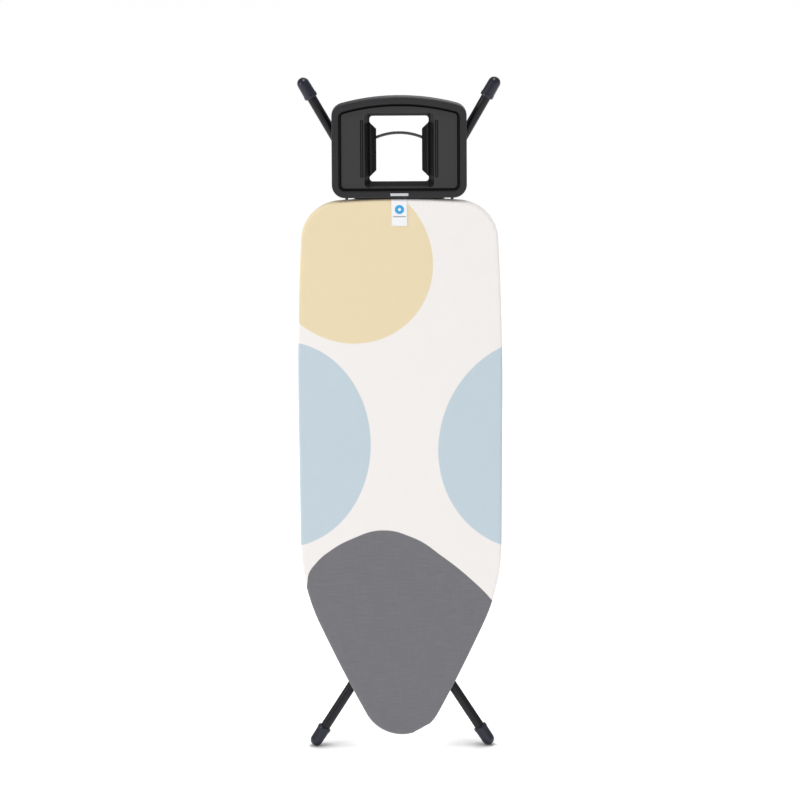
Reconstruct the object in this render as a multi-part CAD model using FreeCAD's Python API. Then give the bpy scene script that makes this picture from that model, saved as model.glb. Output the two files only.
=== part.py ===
import FreeCAD, Part
import math
import os

# A folding ironing board with an iron rest, folded flat and stood on two of its feet.
# X runs across the board, Y from the ironing face at the front to the legs at the back,
# and Z up from the floor towards the iron rest. Lengths are millimetres, angles degrees.
# The ironing top is a steel mesh in a pressed rim, with felt, foam and a cotton cover.
# Two leg frames cross like scissors: the outer one hinges near the nose, and the inner
# one slides in a notched rack, so both lie in one plane when the board is folded.

V = FreeCAD.Vector
X_AXIS, Y_AXIS, Z_AXIS = V(1, 0, 0), V(0, 1, 0), V(0, 0, 1)
OUT = "parts"

# ---- Ironing top ----
NOSE_Z = 36.0
BOARD_LENGTH = 1240.0
NOSE_R, NOSE_TURN = 91.0, 61.5
FLANK_R, FLANK_TURN = 2970.0, 3.5
SHOULDER_R, SHOULDER_TURN = 463.0, 24.5
SIDE_R, SIDE_TURN = 6000.0, 3.6
CORNER_R = 92.0
END_R, END_TURN = 1730.0, 4.5
END_Z = NOSE_Z + BOARD_LENGTH

COVER_FRONT, COVER_BACK = -29.2, -4.8
CLOTH = 1.0
COVER_EDGE_R = 6.0
HEM_WIDTH = 46.0
LABEL_WIDTH, LABEL_LENGTH, LABEL_THICK = 36.0, 62.0, 0.5
PAD_INSET = 6.0
FELT_FRONT, FELT_BACK = -28.1, -26.1
MESH_FRONT, MESH_BACK = -22.5, -21.0
RIM_OUTSET, RIM_WALL, RIM_FLANGE, RIM_BACK = 2.0, 1.5, 14.0, -8.0
DIAMOND_WIDTH, DIAMOND_LENGTH = 27.0, 56.0
DIAMOND_PITCH_X, DIAMOND_PITCH_Z = 36.0, 72.0
MESH_MARGIN = 14.0

# ---- Steelwork behind the top ----
BEAM_X, BEAM_WIDTH, BEAM_WALL = 125.0, 26.0, 1.3
BEAM_BACK = -7.0
BEAM_LOW, BEAM_HIGH = 250.0, 1252.0
SHEET = 1.5
CROSS_BACK = BEAM_BACK + SHEET
CROSS_HALF = 145.0
RIVET_R, RIVET_HEAD_R, RIVET_HEAD = 2.0, 4.0, 1.8

# ---- Leg frames ----
LEG_Y = 15.0
TUBE_R, TUBE_WALL, BEND_R = 11.0, 1.2, 70.0
FOOT_R = 14.0
OUTER_X, OUTER_SPLAY = 90.0, 29.6
OUTER_FOOT_X, OUTER_FOOT_Z = 213.0, 1532.5
INNER_X, INNER_SPLAY = 60.0, 32.4
INNER_FOOT_X, INNER_FOOT_Z = 194.0, FOOT_R
HINGE_Z = 366.0
LEG_SPAN = OUTER_FOOT_Z - HINGE_Z
SLIDER_Z = INNER_FOOT_Z + LEG_SPAN
CROSSING_Z = (HINGE_Z + SLIDER_Z) / 2
OPEN_ANGLE = 52.0
TUBE_STUB = 10.0
PLUG_FLANGE = 1.5
PIN_R, BUSH_R, RUNNING = 4.0, 6.0, 0.05
SPREADER_R, SPREADER_WALL = 8.0, 1.2
OUTER_SPREADER_Z, INNER_SPREADER_Z = 1262.0, 270.0

# ---- Height rack, sliding bar and lever ----
RACK_HALF, RACK_BACK = 34.0, 29.0
RACK_LOW, RACK_HIGH = 838.0, 1210.0
ROLLER_R, ROLLER_GAP = 8.0, 0.3
BAR_R, BAR_HALF = 6.0, 74.0
NOTCHES, NOTCH_DEPTH = 7, 6.0
LOWEST_ANGLE = 33.0
SHAFT_Y, SHAFT_R = -0.9, 2.5
LEVER_ANGLE, LEVER_REACH = 14.0, 75.0
FIN_REACH, FIN_THICK, FIN_LIP = 28.0, 2.0, 1.7

# ---- Transport hook ----
HOOK_X, HOOK_Y, HOOK_Z, HOOK_LENGTH = 110.0, -1.0, 570.0, 16.0
HOOK_PIN_R, HOOK_HUB_R = 1.5, 4.0

# ---- Iron rest ----
REST_LOW, REST_HIGH, REST_HALF = 1279.3, 1509.7, 151.0
REST_FRONT, REST_BACK = -30.0, -4.5
REST_CORNER_R, REST_CROWN_R = 30.0, 490.0
REST_WALL = 3.0
RIM_BAND, RIM_SLOPE, PANEL_DROP = 15.5, 6.5, 6.0
WELL_HALF, WELL_LOW, WELL_HIGH = 77.5, 1303.0, 1473.0
WELL_FLOOR_Y, WELL_TAPER_X, WELL_TAPER_Z = -7.0, 9.5, 4.0
OPENING_HALF, OPENING_LOW, OPENING_HIGH, OPENING_R = 66.0, 1313.0, 1463.0, 7.0
TONGUE_HALF, TONGUE_LOW, TONGUE_HIGH = 51.0, 1339.0, 1433.5
TONGUE_CHAMFER = 14.5
STRIP_X, STRIP_WIDTH, STRIP_LENGTH, STRIP_Z = 83.5, 6.7, 132.0, 1391.0
BADGE_WIDTH, BADGE_HEIGHT, BADGE_THICK, BADGE_Z = 40.0, 6.0, 0.4, 1287.5
HOOP_R, HOOP_X, HOOP_Y = 3.25, 118.0, -0.6
HOOP_CROWN_Z, HOOP_CROWN_R, HOOP_BEND_R, HOOP_LOW = 1423.0, 131.0, 60.0, 1150.0


# ---------------------------------------------------------------- helpers

def save(name, *solids):
    """Writes one named node, made of one or more separate solids."""
    shape = solids[0] if len(solids) == 1 else Part.makeCompound(list(solids))
    shape.exportStep(os.path.join(OUT, name + ".step"))


def block(x0, x1, y0, y1, z0, z1):
    return Part.makeBox(x1 - x0, y1 - y0, z1 - z0, V(x0, y0, z0))


def rod_x(x0, x1, y, z, radius):
    return Part.makeCylinder(radius, x1 - x0, V(x0, y, z), X_AXIS)


def rod_y(y0, y1, x, z, radius):
    return Part.makeCylinder(radius, y1 - y0, V(x, y0, z), Y_AXIS)


def rod_z(z0, z1, x, y, radius):
    return Part.makeCylinder(radius, z1 - z0, V(x, y, z0), Z_AXIS)


def mirrored(shape):
    """The same piece on the other side of the board."""
    return shape.mirror(V(0, 0, 0), X_AXIS)


def both_sides(shape):
    return [shape, mirrored(shape)]


def drilled(shape, holes):
    return shape.cut(Part.makeCompound(holes))


def prism(points, y0, y1):
    """A polygon of (x, z) points, extruded from y0 to y1."""
    wire = Part.makePolygon([V(x, y0, z) for x, z in points + points[:1]])
    return Part.Face(wire).extrude(V(0, y1 - y0, 0))


def section_z(points, z0, z1):
    """A polygon of (x, y) points, extruded from z0 to z1."""
    wire = Part.makePolygon([V(x, y, z0) for x, y in points + points[:1]])
    return Part.Face(wire).extrude(V(0, 0, z1 - z0))


def walk(runs, start_z, inset, y):
    """Follows lines ("line", length) and left-hand arcs ("arc", radius, turn), each tangent to
    the last, from the low point on the centreline. An inset moves the whole path inwards.
    Returns the edges and the end point."""
    place, heading, edges = V(0, y, start_z + inset), 0.0, []
    for run in runs:
        if run[0] == "line":
            end = place + V(math.cos(heading), 0, math.sin(heading)) * run[1]
            edges.append(Part.LineSegment(place, end).toShape())
        else:
            radius, turn = run[1] - inset, math.radians(run[2])
            centre = place + V(-math.sin(heading), 0, math.cos(heading)) * radius
            middle, end = (
                centre + V(math.sin(heading + a), 0, -math.cos(heading + a)) * radius
                for a in (turn / 2, turn)
            )
            edges.append(Part.Arc(place, middle, end).toShape())
            heading += turn
        place = end
    return edges, place


def closed_face(runs, start_z, inset, y):
    """The face inside a path and its mirror image."""
    edges, _ = walk(runs, start_z, inset, y)
    both = edges + [mirrored(e) for e in edges]
    return Part.Face(Part.Wire(Part.__sortEdges__(both)))


def board_runs():
    """The board's outline from nose to square end. The flank's and the side's lengths are what
    closes it on the centreline at the board's full length."""
    flank = NOSE_TURN + FLANK_TURN
    side = flank + SHOULDER_TURN
    corner = 180 - END_TURN - side - SIDE_TURN

    def runs(flank_line, side_line):
        return [
            ("arc", NOSE_R, NOSE_TURN),
            ("arc", FLANK_R, FLANK_TURN),
            ("line", flank_line),
            ("arc", SHOULDER_R, SHOULDER_TURN),
            ("line", side_line),
            ("arc", SIDE_R, SIDE_TURN),
            ("arc", CORNER_R, corner),
            ("arc", END_R, END_TURN),
        ]

    trial = 1.0
    _, end = walk(runs(trial, trial), 0, 0, 0)
    a, b = math.radians(flank), math.radians(side)
    miss_x = trial * (math.cos(a) + math.cos(b)) - end.x
    miss_z = trial * (math.sin(a) + math.sin(b)) + BOARD_LENGTH - end.z
    scale = math.sin(b - a)
    flank_line = (miss_x * math.sin(b) - miss_z * math.cos(b)) / scale
    side_line = (miss_z * math.cos(a) - miss_x * math.sin(a)) / scale
    return runs(flank_line, side_line)


BOARD_RUNS = board_runs()


def board_slab(inset, y0, y1):
    """A slab of the board's shape, its edge moved in by inset."""
    return closed_face(BOARD_RUNS, NOSE_Z, inset, y0).extrude(V(0, y1 - y0, 0))


def board_ring(outer, inner, y0, y1):
    return board_slab(outer, y0, y1).cut(board_slab(inner, y0, y1))


def front_edges(shape, y):
    return [e for e in shape.Edges if abs(e.BoundBox.YMin - y) < 1e-6 and abs(e.BoundBox.YMax - y) < 1e-6]


# ---------------------------------------------------------------- cover and pads

def label_slab(y0, y1, high):
    half = LABEL_WIDTH / 2
    return block(-half, half, y0, y1, END_Z - LABEL_LENGTH, high)


def make_cover():
    """Cotton cover pulled over the edge, with a hem turned in behind the rim."""
    outer = board_slab(0, COVER_FRONT, COVER_BACK)
    outer = outer.makeFillet(COVER_EDGE_R, front_edges(outer, COVER_FRONT))
    inner = board_slab(CLOTH, COVER_FRONT + CLOTH, COVER_BACK - CLOTH)
    inner = inner.makeFillet(COVER_EDGE_R - CLOTH, front_edges(inner, COVER_FRONT + CLOTH))
    back_opening = board_slab(HEM_WIDTH, COVER_BACK - CLOTH, COVER_BACK)
    label_seat = label_slab(COVER_FRONT, COVER_FRONT + LABEL_THICK, END_Z)
    save("cover", outer.cut(inner).cut(back_opening).cut(label_seat))
    save("cover_label", label_slab(COVER_FRONT, COVER_FRONT + LABEL_THICK, END_Z - COVER_EDGE_R))


def make_hem_elastic():
    """The elastic in the hem's tunnel, a closed loop that pulls the cover tight."""
    radius, gap = 1.5, 1.6
    inset = HEM_WIDTH + gap
    edges, _ = walk(BOARD_RUNS, NOSE_Z, inset, COVER_BACK - CLOTH / 2)
    start = edges[0].Vertexes[0].Point
    half = Part.Wire(edges)
    circle = Part.Wire(Part.makeCircle(radius, start, X_AXIS))
    right = half.makePipeShell([circle], True, True)
    save("hem_elastic", right.fuse(mirrored(right)).removeSplitter())


def make_pads():
    save("felt_layer", board_slab(PAD_INSET, FELT_FRONT, FELT_BACK))
    save("foam_pad", board_slab(PAD_INSET, FELT_BACK, MESH_FRONT))


# ---------------------------------------------------------------- ironing top

def diamond(x, z):
    w, h = DIAMOND_WIDTH / 2, DIAMOND_LENGTH / 2
    corners = [(x + w, z), (x, z + h), (x - w, z), (x, z - h)]
    return Part.makePolygon([V(a, MESH_FRONT, b) for a, b in corners + corners[:1]])


def diamond_centres():
    """Two staggered grids of diamonds that stay inside the mesh's plain margin."""
    inside = closed_face(BOARD_RUNS, NOSE_Z, MESH_MARGIN + RIM_OUTSET, MESH_FRONT)
    columns = int(CROSS_HALF * 2 / DIAMOND_PITCH_X) + 2
    rows = int(BOARD_LENGTH / DIAMOND_PITCH_Z) + 2
    for stagger in (0.0, 0.5):
        for i in range(-columns, columns + 1):
            for j in range(rows):
                x = (i + stagger) * DIAMOND_PITCH_X
                z = NOSE_Z + (j + stagger) * DIAMOND_PITCH_Z
                tips = [(x + DIAMOND_WIDTH / 2, z), (x - DIAMOND_WIDTH / 2, z),
                        (x, z + DIAMOND_LENGTH / 2), (x, z - DIAMOND_LENGTH / 2)]
                if all(inside.isInside(V(a, MESH_FRONT, b), 1e-3, True) for a, b in tips):
                    yield x, z


def make_mesh():
    edge = closed_face(BOARD_RUNS, NOSE_Z, RIM_OUTSET + RIM_WALL, MESH_FRONT).OuterWire
    wires = [edge] + [diamond(x, z) for x, z in diamond_centres()]
    face = Part.makeFace(wires, "Part::FaceMakerBullseye")
    save("ironing_mesh", face.extrude(V(0, MESH_BACK - MESH_FRONT, 0)))


def make_rim():
    """Pressed steel edge: a wall round the mesh and a flange turned in at the back."""
    wall = board_ring(RIM_OUTSET, RIM_OUTSET + RIM_WALL, MESH_FRONT, RIM_BACK)
    flange = board_ring(RIM_OUTSET, RIM_OUTSET + RIM_FLANGE, RIM_BACK - RIM_WALL, RIM_BACK)
    save("rim_frame", wall.fuse(flange).removeSplitter())


# ---------------------------------------------------------------- steelwork

HINGE_CROSS = (HINGE_Z - 22, HINGE_Z + 22)
LOW_CROSS = (842.0, 862.0)
HIGH_CROSS = (1184.0, 1214.0)
CROSSINGS = (HINGE_CROSS, LOW_CROSS, HIGH_CROSS)
BRACKET_RIVETS = [(x, z) for x in (OUTER_X - 7, OUTER_X + 7) for z in (HINGE_Z - 17, HINGE_Z + 17)]
RACK_RIVETS = [(x, (low + high) / 2) for x in (17.0,) for low, high in (LOW_CROSS, HIGH_CROSS)]
BEAM_RIVETS = [(BEAM_X + dx, (low + high) / 2) for dx in (7.0,) for low, high in CROSSINGS]


def rivet_holes(spots):
    """Holes for rivets at (x, z) spots, on both sides of the board."""
    holes = [rod_y(BEAM_BACK - 5, CROSS_BACK + 5, x, z, RIVET_R + RUNNING) for x, z in spots]
    return holes + [mirrored(h) for h in holes]


def rivet(x, z, front, back):
    """A domed rivet that closes the sheets between y = front and y = back."""
    shank = rod_y(front, back, x, z, RIVET_R)
    low_head = rod_y(front - 1, front, x, z, RIVET_HEAD_R)
    dome_r = (RIVET_HEAD_R ** 2 + RIVET_HEAD ** 2) / (2 * RIVET_HEAD)
    ball = Part.makeSphere(dome_r, V(x, back + RIVET_HEAD - dome_r, z))
    dome = ball.common(rod_y(back, back + RIVET_HEAD, x, z, RIVET_HEAD_R))
    return shank.fuse([low_head, dome])


def make_rivets():
    beam_front = BEAM_BACK - BEAM_WALL
    stacks = [(spot, beam_front, CROSS_BACK) for spot in BEAM_RIVETS]
    stacks += [(spot, BEAM_BACK, CROSS_BACK + SHEET) for spot in RACK_RIVETS]
    stacks += [(spot, BEAM_BACK, CROSS_BACK + 2.0) for spot in BRACKET_RIVETS]
    rivets = [rivet(x, z, front, back) for (x, z), front, back in stacks]
    save("frame_rivets", *(rivets + [mirrored(r) for r in rivets]))


def make_beams():
    """Two channels that stiffen the mesh, open side to the mesh."""
    half = BEAM_WIDTH / 2
    outside = block(BEAM_X - half, BEAM_X + half, MESH_BACK, BEAM_BACK, BEAM_LOW, BEAM_HIGH)
    hollow = block(BEAM_X - half + BEAM_WALL, BEAM_X + half - BEAM_WALL,
                   MESH_BACK, BEAM_BACK - BEAM_WALL, BEAM_LOW, BEAM_HIGH)
    beam = drilled(outside.cut(hollow), rivet_holes(BEAM_RIVETS))
    save("beam_right", beam)
    save("beam_left", mirrored(beam))


def make_crossmembers():
    for name, (low, high) in zip(("hinge", "lower_rack", "upper_rack"), CROSSINGS):
        strap = block(-CROSS_HALF, CROSS_HALF, BEAM_BACK, CROSS_BACK, low, high)
        holes = rivet_holes(BEAM_RIVETS + RACK_RIVETS + BRACKET_RIVETS)
        save(name + "_crossmember", drilled(strap, holes))


def make_hinge_brackets():
    """U-brackets that carry the outer leg frame's pins."""
    base, ear, half_width, half_height = 2.0, 2.0, 15.5, 22.0
    ear_r = 14.0
    x0, x1 = OUTER_X - half_width, OUTER_X + half_width
    floor = block(x0, x1, CROSS_BACK, CROSS_BACK + base, HINGE_Z - half_height, HINGE_Z + half_height)
    shape = floor
    for low in (x0, x1 - ear):
        plate = block(low, low + ear, CROSS_BACK, LEG_Y, HINGE_Z - ear_r, HINGE_Z + ear_r)
        shape = shape.fuse(plate.fuse(rod_x(low, low + ear, LEG_Y, HINGE_Z, ear_r)))
    holes = rivet_holes(BRACKET_RIVETS) + [rod_x(x0 - 1, x1 + 1, LEG_Y, HINGE_Z, PIN_R + RUNNING)]
    bracket = drilled(shape.removeSplitter(), holes)
    save("hinge_bracket_right", bracket)
    save("hinge_bracket_left", mirrored(bracket))
    head_r, inner_head, outer_head = 7.0, 1.8, 3.0
    pin = rod_x(x0, x1, LEG_Y, HINGE_Z, PIN_R)
    pin = pin.fuse([rod_x(x0 - inner_head, x0, LEG_Y, HINGE_Z, head_r),
                    rod_x(x1, x1 + outer_head, LEG_Y, HINGE_Z, head_r)])
    save("hinge_pins", *both_sides(pin))


# ---------------------------------------------------------------- leg frames

def leg_path(x, end_z, foot_x, foot_z, splay):
    """A leg's centreline: straight along the board, one bend, then splayed out to the foot."""
    up = 1 if foot_z > end_z else -1
    lean = math.radians(splay)
    away = V(-math.sin(lean), 0, -up * math.cos(lean))
    foot = V(foot_x, LEG_Y, foot_z)
    corner = foot + away * ((foot_x - x) / math.sin(lean))
    back = BEND_R * math.tan(lean / 2)
    bend_start = corner - V(0, 0, up * back)
    bend_end = corner - away * back
    centre = bend_start + V(BEND_R, 0, 0)
    to_corner = (corner - centre).normalize()
    bend = Part.Arc(bend_start, centre + to_corner * BEND_R, bend_end)
    return V(x, LEG_Y, end_z), bend_start, bend, bend_end, foot, away


def leg_tube(path, end_gap, holes):
    """Round tube along a leg path, stopping short of the foot's centre by end_gap."""
    start, bend_start, bend, bend_end, foot, away = path
    line = Part.Wire([
        Part.LineSegment(start, bend_start).toShape(),
        bend.toShape(),
        Part.LineSegment(bend_end, foot + away * end_gap).toShape(),
    ])

    def pipe(radius):
        circle = Part.Wire(Part.makeCircle(radius, start, bend_start - start))
        return line.makePipeShell([circle], True, True)

    return drilled(pipe(TUBE_R).cut(pipe(TUBE_R - TUBE_WALL)), holes)


def foot_cap(path):
    """Moulded cap with a rounded nose, a slight taper and a collar at its mouth."""
    foot, away = path[4], path[5]
    floor, collar_low, mouth = 4.0, 30.0, 36.0
    waist_r, collar_r, bore_r = 14.6, 15.0, TUBE_R + RUNNING
    points = [V(FOOT_R, 0, 0), V(waist_r, 0, collar_low - 2), V(collar_r, 0, collar_low),
              V(collar_r, 0, mouth - 1), V(collar_r - 1, 0, mouth), V(bore_r, 0, mouth),
              V(bore_r, 0, floor), V(0, 0, floor), V(0, 0, -FOOT_R)]
    nose_mid = V(FOOT_R * math.sin(math.pi / 4), 0, -FOOT_R * math.cos(math.pi / 4))
    edges = [Part.LineSegment(a, b).toShape() for a, b in zip(points, points[1:])]
    edges.append(Part.Arc(points[-1], nose_mid, points[0]).toShape())
    cap = Part.Face(Part.Wire(edges)).revolve(V(0, 0, 0), Z_AXIS, 360)
    cap.Placement = FreeCAD.Placement(foot, FreeCAD.Rotation(Z_AXIS, away))
    return cap


def end_plug(x, z, down):
    """Push-in plug that closes a tube's straight end."""
    away = V(0, 0, -1) if down else V(0, 0, 1)
    flange = Part.makeCylinder(TUBE_R, PLUG_FLANGE, V(x, LEG_Y, z), away)
    depth = TUBE_STUB - BUSH_R - 1
    stem = Part.makeCylinder(TUBE_R - TUBE_WALL - RUNNING, depth, V(x, LEG_Y, z), away * -1)
    return flange.fuse(stem)


def bush(x, z, half, bore):
    ring = rod_x(x - half, x + half, LEG_Y, z, BUSH_R)
    return ring.cut(rod_x(x - half, x + half, LEG_Y, z, bore))


def spreader(leg_x, z):
    """Cross tube whose ends are coped to the leg tubes."""
    outside = rod_x(-leg_x, leg_x, LEG_Y, z, SPREADER_R)
    hollow = rod_x(-leg_x, leg_x, LEG_Y, z, SPREADER_R - SPREADER_WALL)
    reach = 4 * SPREADER_R
    legs = [rod_z(z - reach, z + reach, side * leg_x, LEG_Y, TUBE_R) for side in (1, -1)]
    return drilled(outside.cut(hollow), legs)


def make_outer_legs():
    """The frame hinged near the nose. Its feet stand beyond the iron rest when folded."""
    end_z = HINGE_Z - TUBE_STUB
    path = leg_path(OUTER_X, end_z, OUTER_FOOT_X, OUTER_FOOT_Z, OUTER_SPLAY)
    reach = 2 * TUBE_R
    holes = [rod_x(OUTER_X - reach, OUTER_X + reach, LEG_Y, HINGE_Z, BUSH_R + RUNNING),
             rod_x(OUTER_X - reach, OUTER_X + reach, LEG_Y, CROSSING_Z, PIN_R + RUNNING)]
    tube = leg_tube(path, 4.5, holes)
    cap = foot_cap(path)
    save("outer_leg_tube_right", tube)
    save("outer_leg_tube_left", mirrored(tube))
    save("outer_leg_foot_right", cap)
    save("outer_leg_foot_left", mirrored(cap))
    save("outer_leg_spreader", spreader(OUTER_X, OUTER_SPREADER_Z))
    save("outer_leg_bushes", *both_sides(bush(OUTER_X, HINGE_Z, 13.0, PIN_R + RUNNING)))
    save("outer_leg_plugs", *both_sides(end_plug(OUTER_X, end_z, True)))


def make_inner_legs():
    """The frame that slides in the rack. Its feet stand below the nose when folded."""
    end_z = SLIDER_Z + TUBE_STUB
    path = leg_path(INNER_X, end_z, INNER_FOOT_X, INNER_FOOT_Z, INNER_SPLAY)
    reach = 1.2 * TUBE_R
    holes = [rod_x(INNER_X - reach, INNER_X + reach, LEG_Y, SLIDER_Z, BAR_R + RUNNING),
             rod_x(INNER_X - reach, INNER_X + reach, LEG_Y, CROSSING_Z, BUSH_R + RUNNING)]
    tube = leg_tube(path, 4.5, holes)
    cap = foot_cap(path)
    save("inner_leg_tube_right", tube)
    save("inner_leg_tube_left", mirrored(tube))
    save("inner_leg_foot_right", cap)
    save("inner_leg_foot_left", mirrored(cap))
    save("inner_leg_spreader", spreader(INNER_X, INNER_SPREADER_Z))
    save("inner_leg_bushes", *both_sides(bush(INNER_X, CROSSING_Z, 11.1, PIN_R + RUNNING)))
    save("inner_leg_plugs", *both_sides(end_plug(INNER_X, end_z, False)))


def make_crossing():
    """The scissor pivots: a bolt, washers and nut on each side, with a spacer between legs."""
    washer_r, washer, head_af, head, nut = 8.0, 1.6, 13.0, 5.0, 6.0
    gap = 0.2
    inner_face = INNER_X - TUBE_R - gap - washer
    outer_face = OUTER_X + TUBE_R + gap + washer
    across = head_af / math.sqrt(3)
    hexagon = [V(0, LEG_Y + across * math.cos(math.radians(60 * i)),
                 CROSSING_Z + across * math.sin(math.radians(60 * i))) for i in range(6)]
    hex_face = Part.Face(Part.makePolygon(hexagon + hexagon[:1]))

    def hex_prism(x0, x1):
        placed = hex_face.copy()
        placed.translate(V(x0, 0, 0))
        return placed.extrude(V(x1 - x0, 0, 0))

    shank = rod_x(inner_face - nut - 2, outer_face, LEG_Y, CROSSING_Z, PIN_R)
    bolt = shank.fuse(hex_prism(outer_face, outer_face + head))
    hole = rod_x(0, 2 * OUTER_X, LEG_Y, CROSSING_Z, PIN_R + RUNNING)
    save("crossing_bolts", *both_sides(bolt))
    save("crossing_nuts", *both_sides(hex_prism(inner_face - nut, inner_face).cut(hole)))
    washers = [rod_x(x, x + washer, LEG_Y, CROSSING_Z, washer_r).cut(hole)
               for x in (inner_face, outer_face - washer)]
    save("crossing_washers", *(washers + [mirrored(w) for w in washers]))
    spacer = rod_x(INNER_X + TUBE_R + gap, OUTER_X - TUBE_R - gap, LEG_Y, CROSSING_Z, 10.0)
    save("crossing_spacers", *both_sides(spacer.cut(hole)))


# ---------------------------------------------------------------- rack, bar and lever

def slider_z(angle):
    """Where the sliding bar stands along the board at a leg angle."""
    return HINGE_Z + (SLIDER_Z - HINGE_Z) * math.cos(math.radians(angle))


def slot_and_notches(x0, x1):
    """The straight run of the bar with its height notches, as one cutter along X."""
    half = ROLLER_R + ROLLER_GAP
    low, high = slider_z(OPEN_ANGLE), SLIDER_Z
    cutter = block(x0, x1, LEG_Y - half, LEG_Y + half, low, high)
    cutter = cutter.fuse([rod_x(x0, x1, LEG_Y, low, half), rod_x(x0, x1, LEG_Y, high, half)])
    pitch = (slider_z(LOWEST_ANGLE) - low) / (NOTCHES - 1)
    for i in range(NOTCHES):
        z = low + i * pitch
        cutter = cutter.fuse(rod_x(x0, x1, LEG_Y - NOTCH_DEPTH, z, half))
        cutter = cutter.fuse(block(x0, x1, LEG_Y - NOTCH_DEPTH, LEG_Y, z - half, z + half))
    return cutter


def make_rack():
    """Notched channel riveted under the top. Its ends carry the lever's shaft."""
    web_back = CROSS_BACK + SHEET
    web = block(-RACK_HALF, RACK_HALF, CROSS_BACK, web_back, RACK_LOW, RACK_HIGH)
    flange = block(RACK_HALF - SHEET, RACK_HALF, web_back, RACK_BACK, RACK_LOW, RACK_HIGH)
    flange = flange.cut(slot_and_notches(RACK_HALF - SHEET - 1, RACK_HALF + 1))
    ends = [block(-RACK_HALF + SHEET, RACK_HALF - SHEET, web_back, 6.0, z, z + SHEET)
            for z in (RACK_LOW, RACK_HIGH - SHEET)]
    rack = web.fuse([flange, mirrored(flange)] + ends).removeSplitter()
    shaft_hole = rod_z(RACK_LOW - 1, RACK_HIGH + 1, 0, SHAFT_Y, SHAFT_R + RUNNING)
    save("height_rack", drilled(rack, rivet_holes(RACK_RIVETS) + [shaft_hole]))


def make_sliding_bar():
    bar = rod_x(-BAR_HALF, BAR_HALF, LEG_Y, SLIDER_Z, BAR_R)
    save("sliding_bar", bar)
    tread = rod_x(RACK_HALF - 4.5, RACK_HALF + 0.6, LEG_Y, SLIDER_Z, ROLLER_R)
    guide = rod_x(RACK_HALF + 0.6, RACK_HALF + 2.6, LEG_Y, SLIDER_Z, ROLLER_R + 2.5)
    roller = tread.fuse(guide).cut(rod_x(0, 2 * RACK_HALF, LEG_Y, SLIDER_Z, BAR_R + RUNNING))
    save("bar_rollers", *both_sides(roller))


def turned(shape, degrees):
    """Turns a lever piece about the shaft."""
    copy = shape.copy()
    copy.rotate(V(0, SHAFT_Y, 0), Z_AXIS, degrees)
    return copy


def make_lever():
    """Squeezing the paddle towards the board lifts the fin, which lifts the bar out of its
    notch."""
    hub_low, hub_high, hub_r = 1216.0, 1225.5, 4.5
    shaft = rod_z(RACK_LOW - 4, hub_high + 1, 0, SHAFT_Y, SHAFT_R)
    save("lever_shaft", shaft)
    fin_low, fin_high = RACK_LOW + 10, RACK_HIGH - 10
    fin_front = SHAFT_Y - FIN_THICK / 2
    fin = block(-FIN_REACH, 0, fin_front, fin_front + FIN_THICK, fin_low, fin_high)
    lip = block(-FIN_REACH, -FIN_REACH + FIN_THICK, fin_front, fin_front + FIN_THICK + FIN_LIP,
                fin_low, fin_high)
    save("lever_fin", fin.fuse(lip).removeSplitter().cut(shaft))
    thick, low, high, root, tip_r = 4.0, 1216.0, 1246.0, 9.0, 9.0
    y0 = SHAFT_Y - thick / 2
    hub = rod_z(hub_low, hub_high, 0, SHAFT_Y, hub_r)
    neck = block(0, root, y0, y0 + thick, hub_low, hub_high)
    blade = block(root, LEVER_REACH, y0, y0 + thick, low, high)
    corners = [e for e in blade.Edges if abs(e.BoundBox.YLength - thick) < 1e-6]
    blade = blade.makeFillet(tip_r, [e for e in corners if e.BoundBox.XMax > root + 1])
    ridges = [block(x, x + 2.5, y0 + thick, y0 + thick + 1.2, low + 5, high - 5)
              for x in (45.0, 51.0, 57.0, 63.0)]
    paddle = hub.fuse([neck, blade] + ridges).removeSplitter()
    save("lever_paddle", turned(paddle, LEVER_ANGLE).cut(shaft))


def make_lever_spring():
    """Torsion spring wound round the shaft between the rack and the paddle's hub."""
    wire_r, coil_r, pitch, turns = 0.5, 3.3, 1.25, 3.0
    low = RACK_HIGH + 1.0
    helix = Part.makeLongHelix(pitch, pitch * turns, coil_r)
    profile = Part.Wire(Part.makeCircle(wire_r, V(coil_r, 0, 0), Y_AXIS))
    spring = Part.Wire(helix.Edges).makePipeShell([profile], True, True)
    spring.translate(V(0, SHAFT_Y, low))
    save("lever_spring", spring)


# ---------------------------------------------------------------- transport hook

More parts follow.
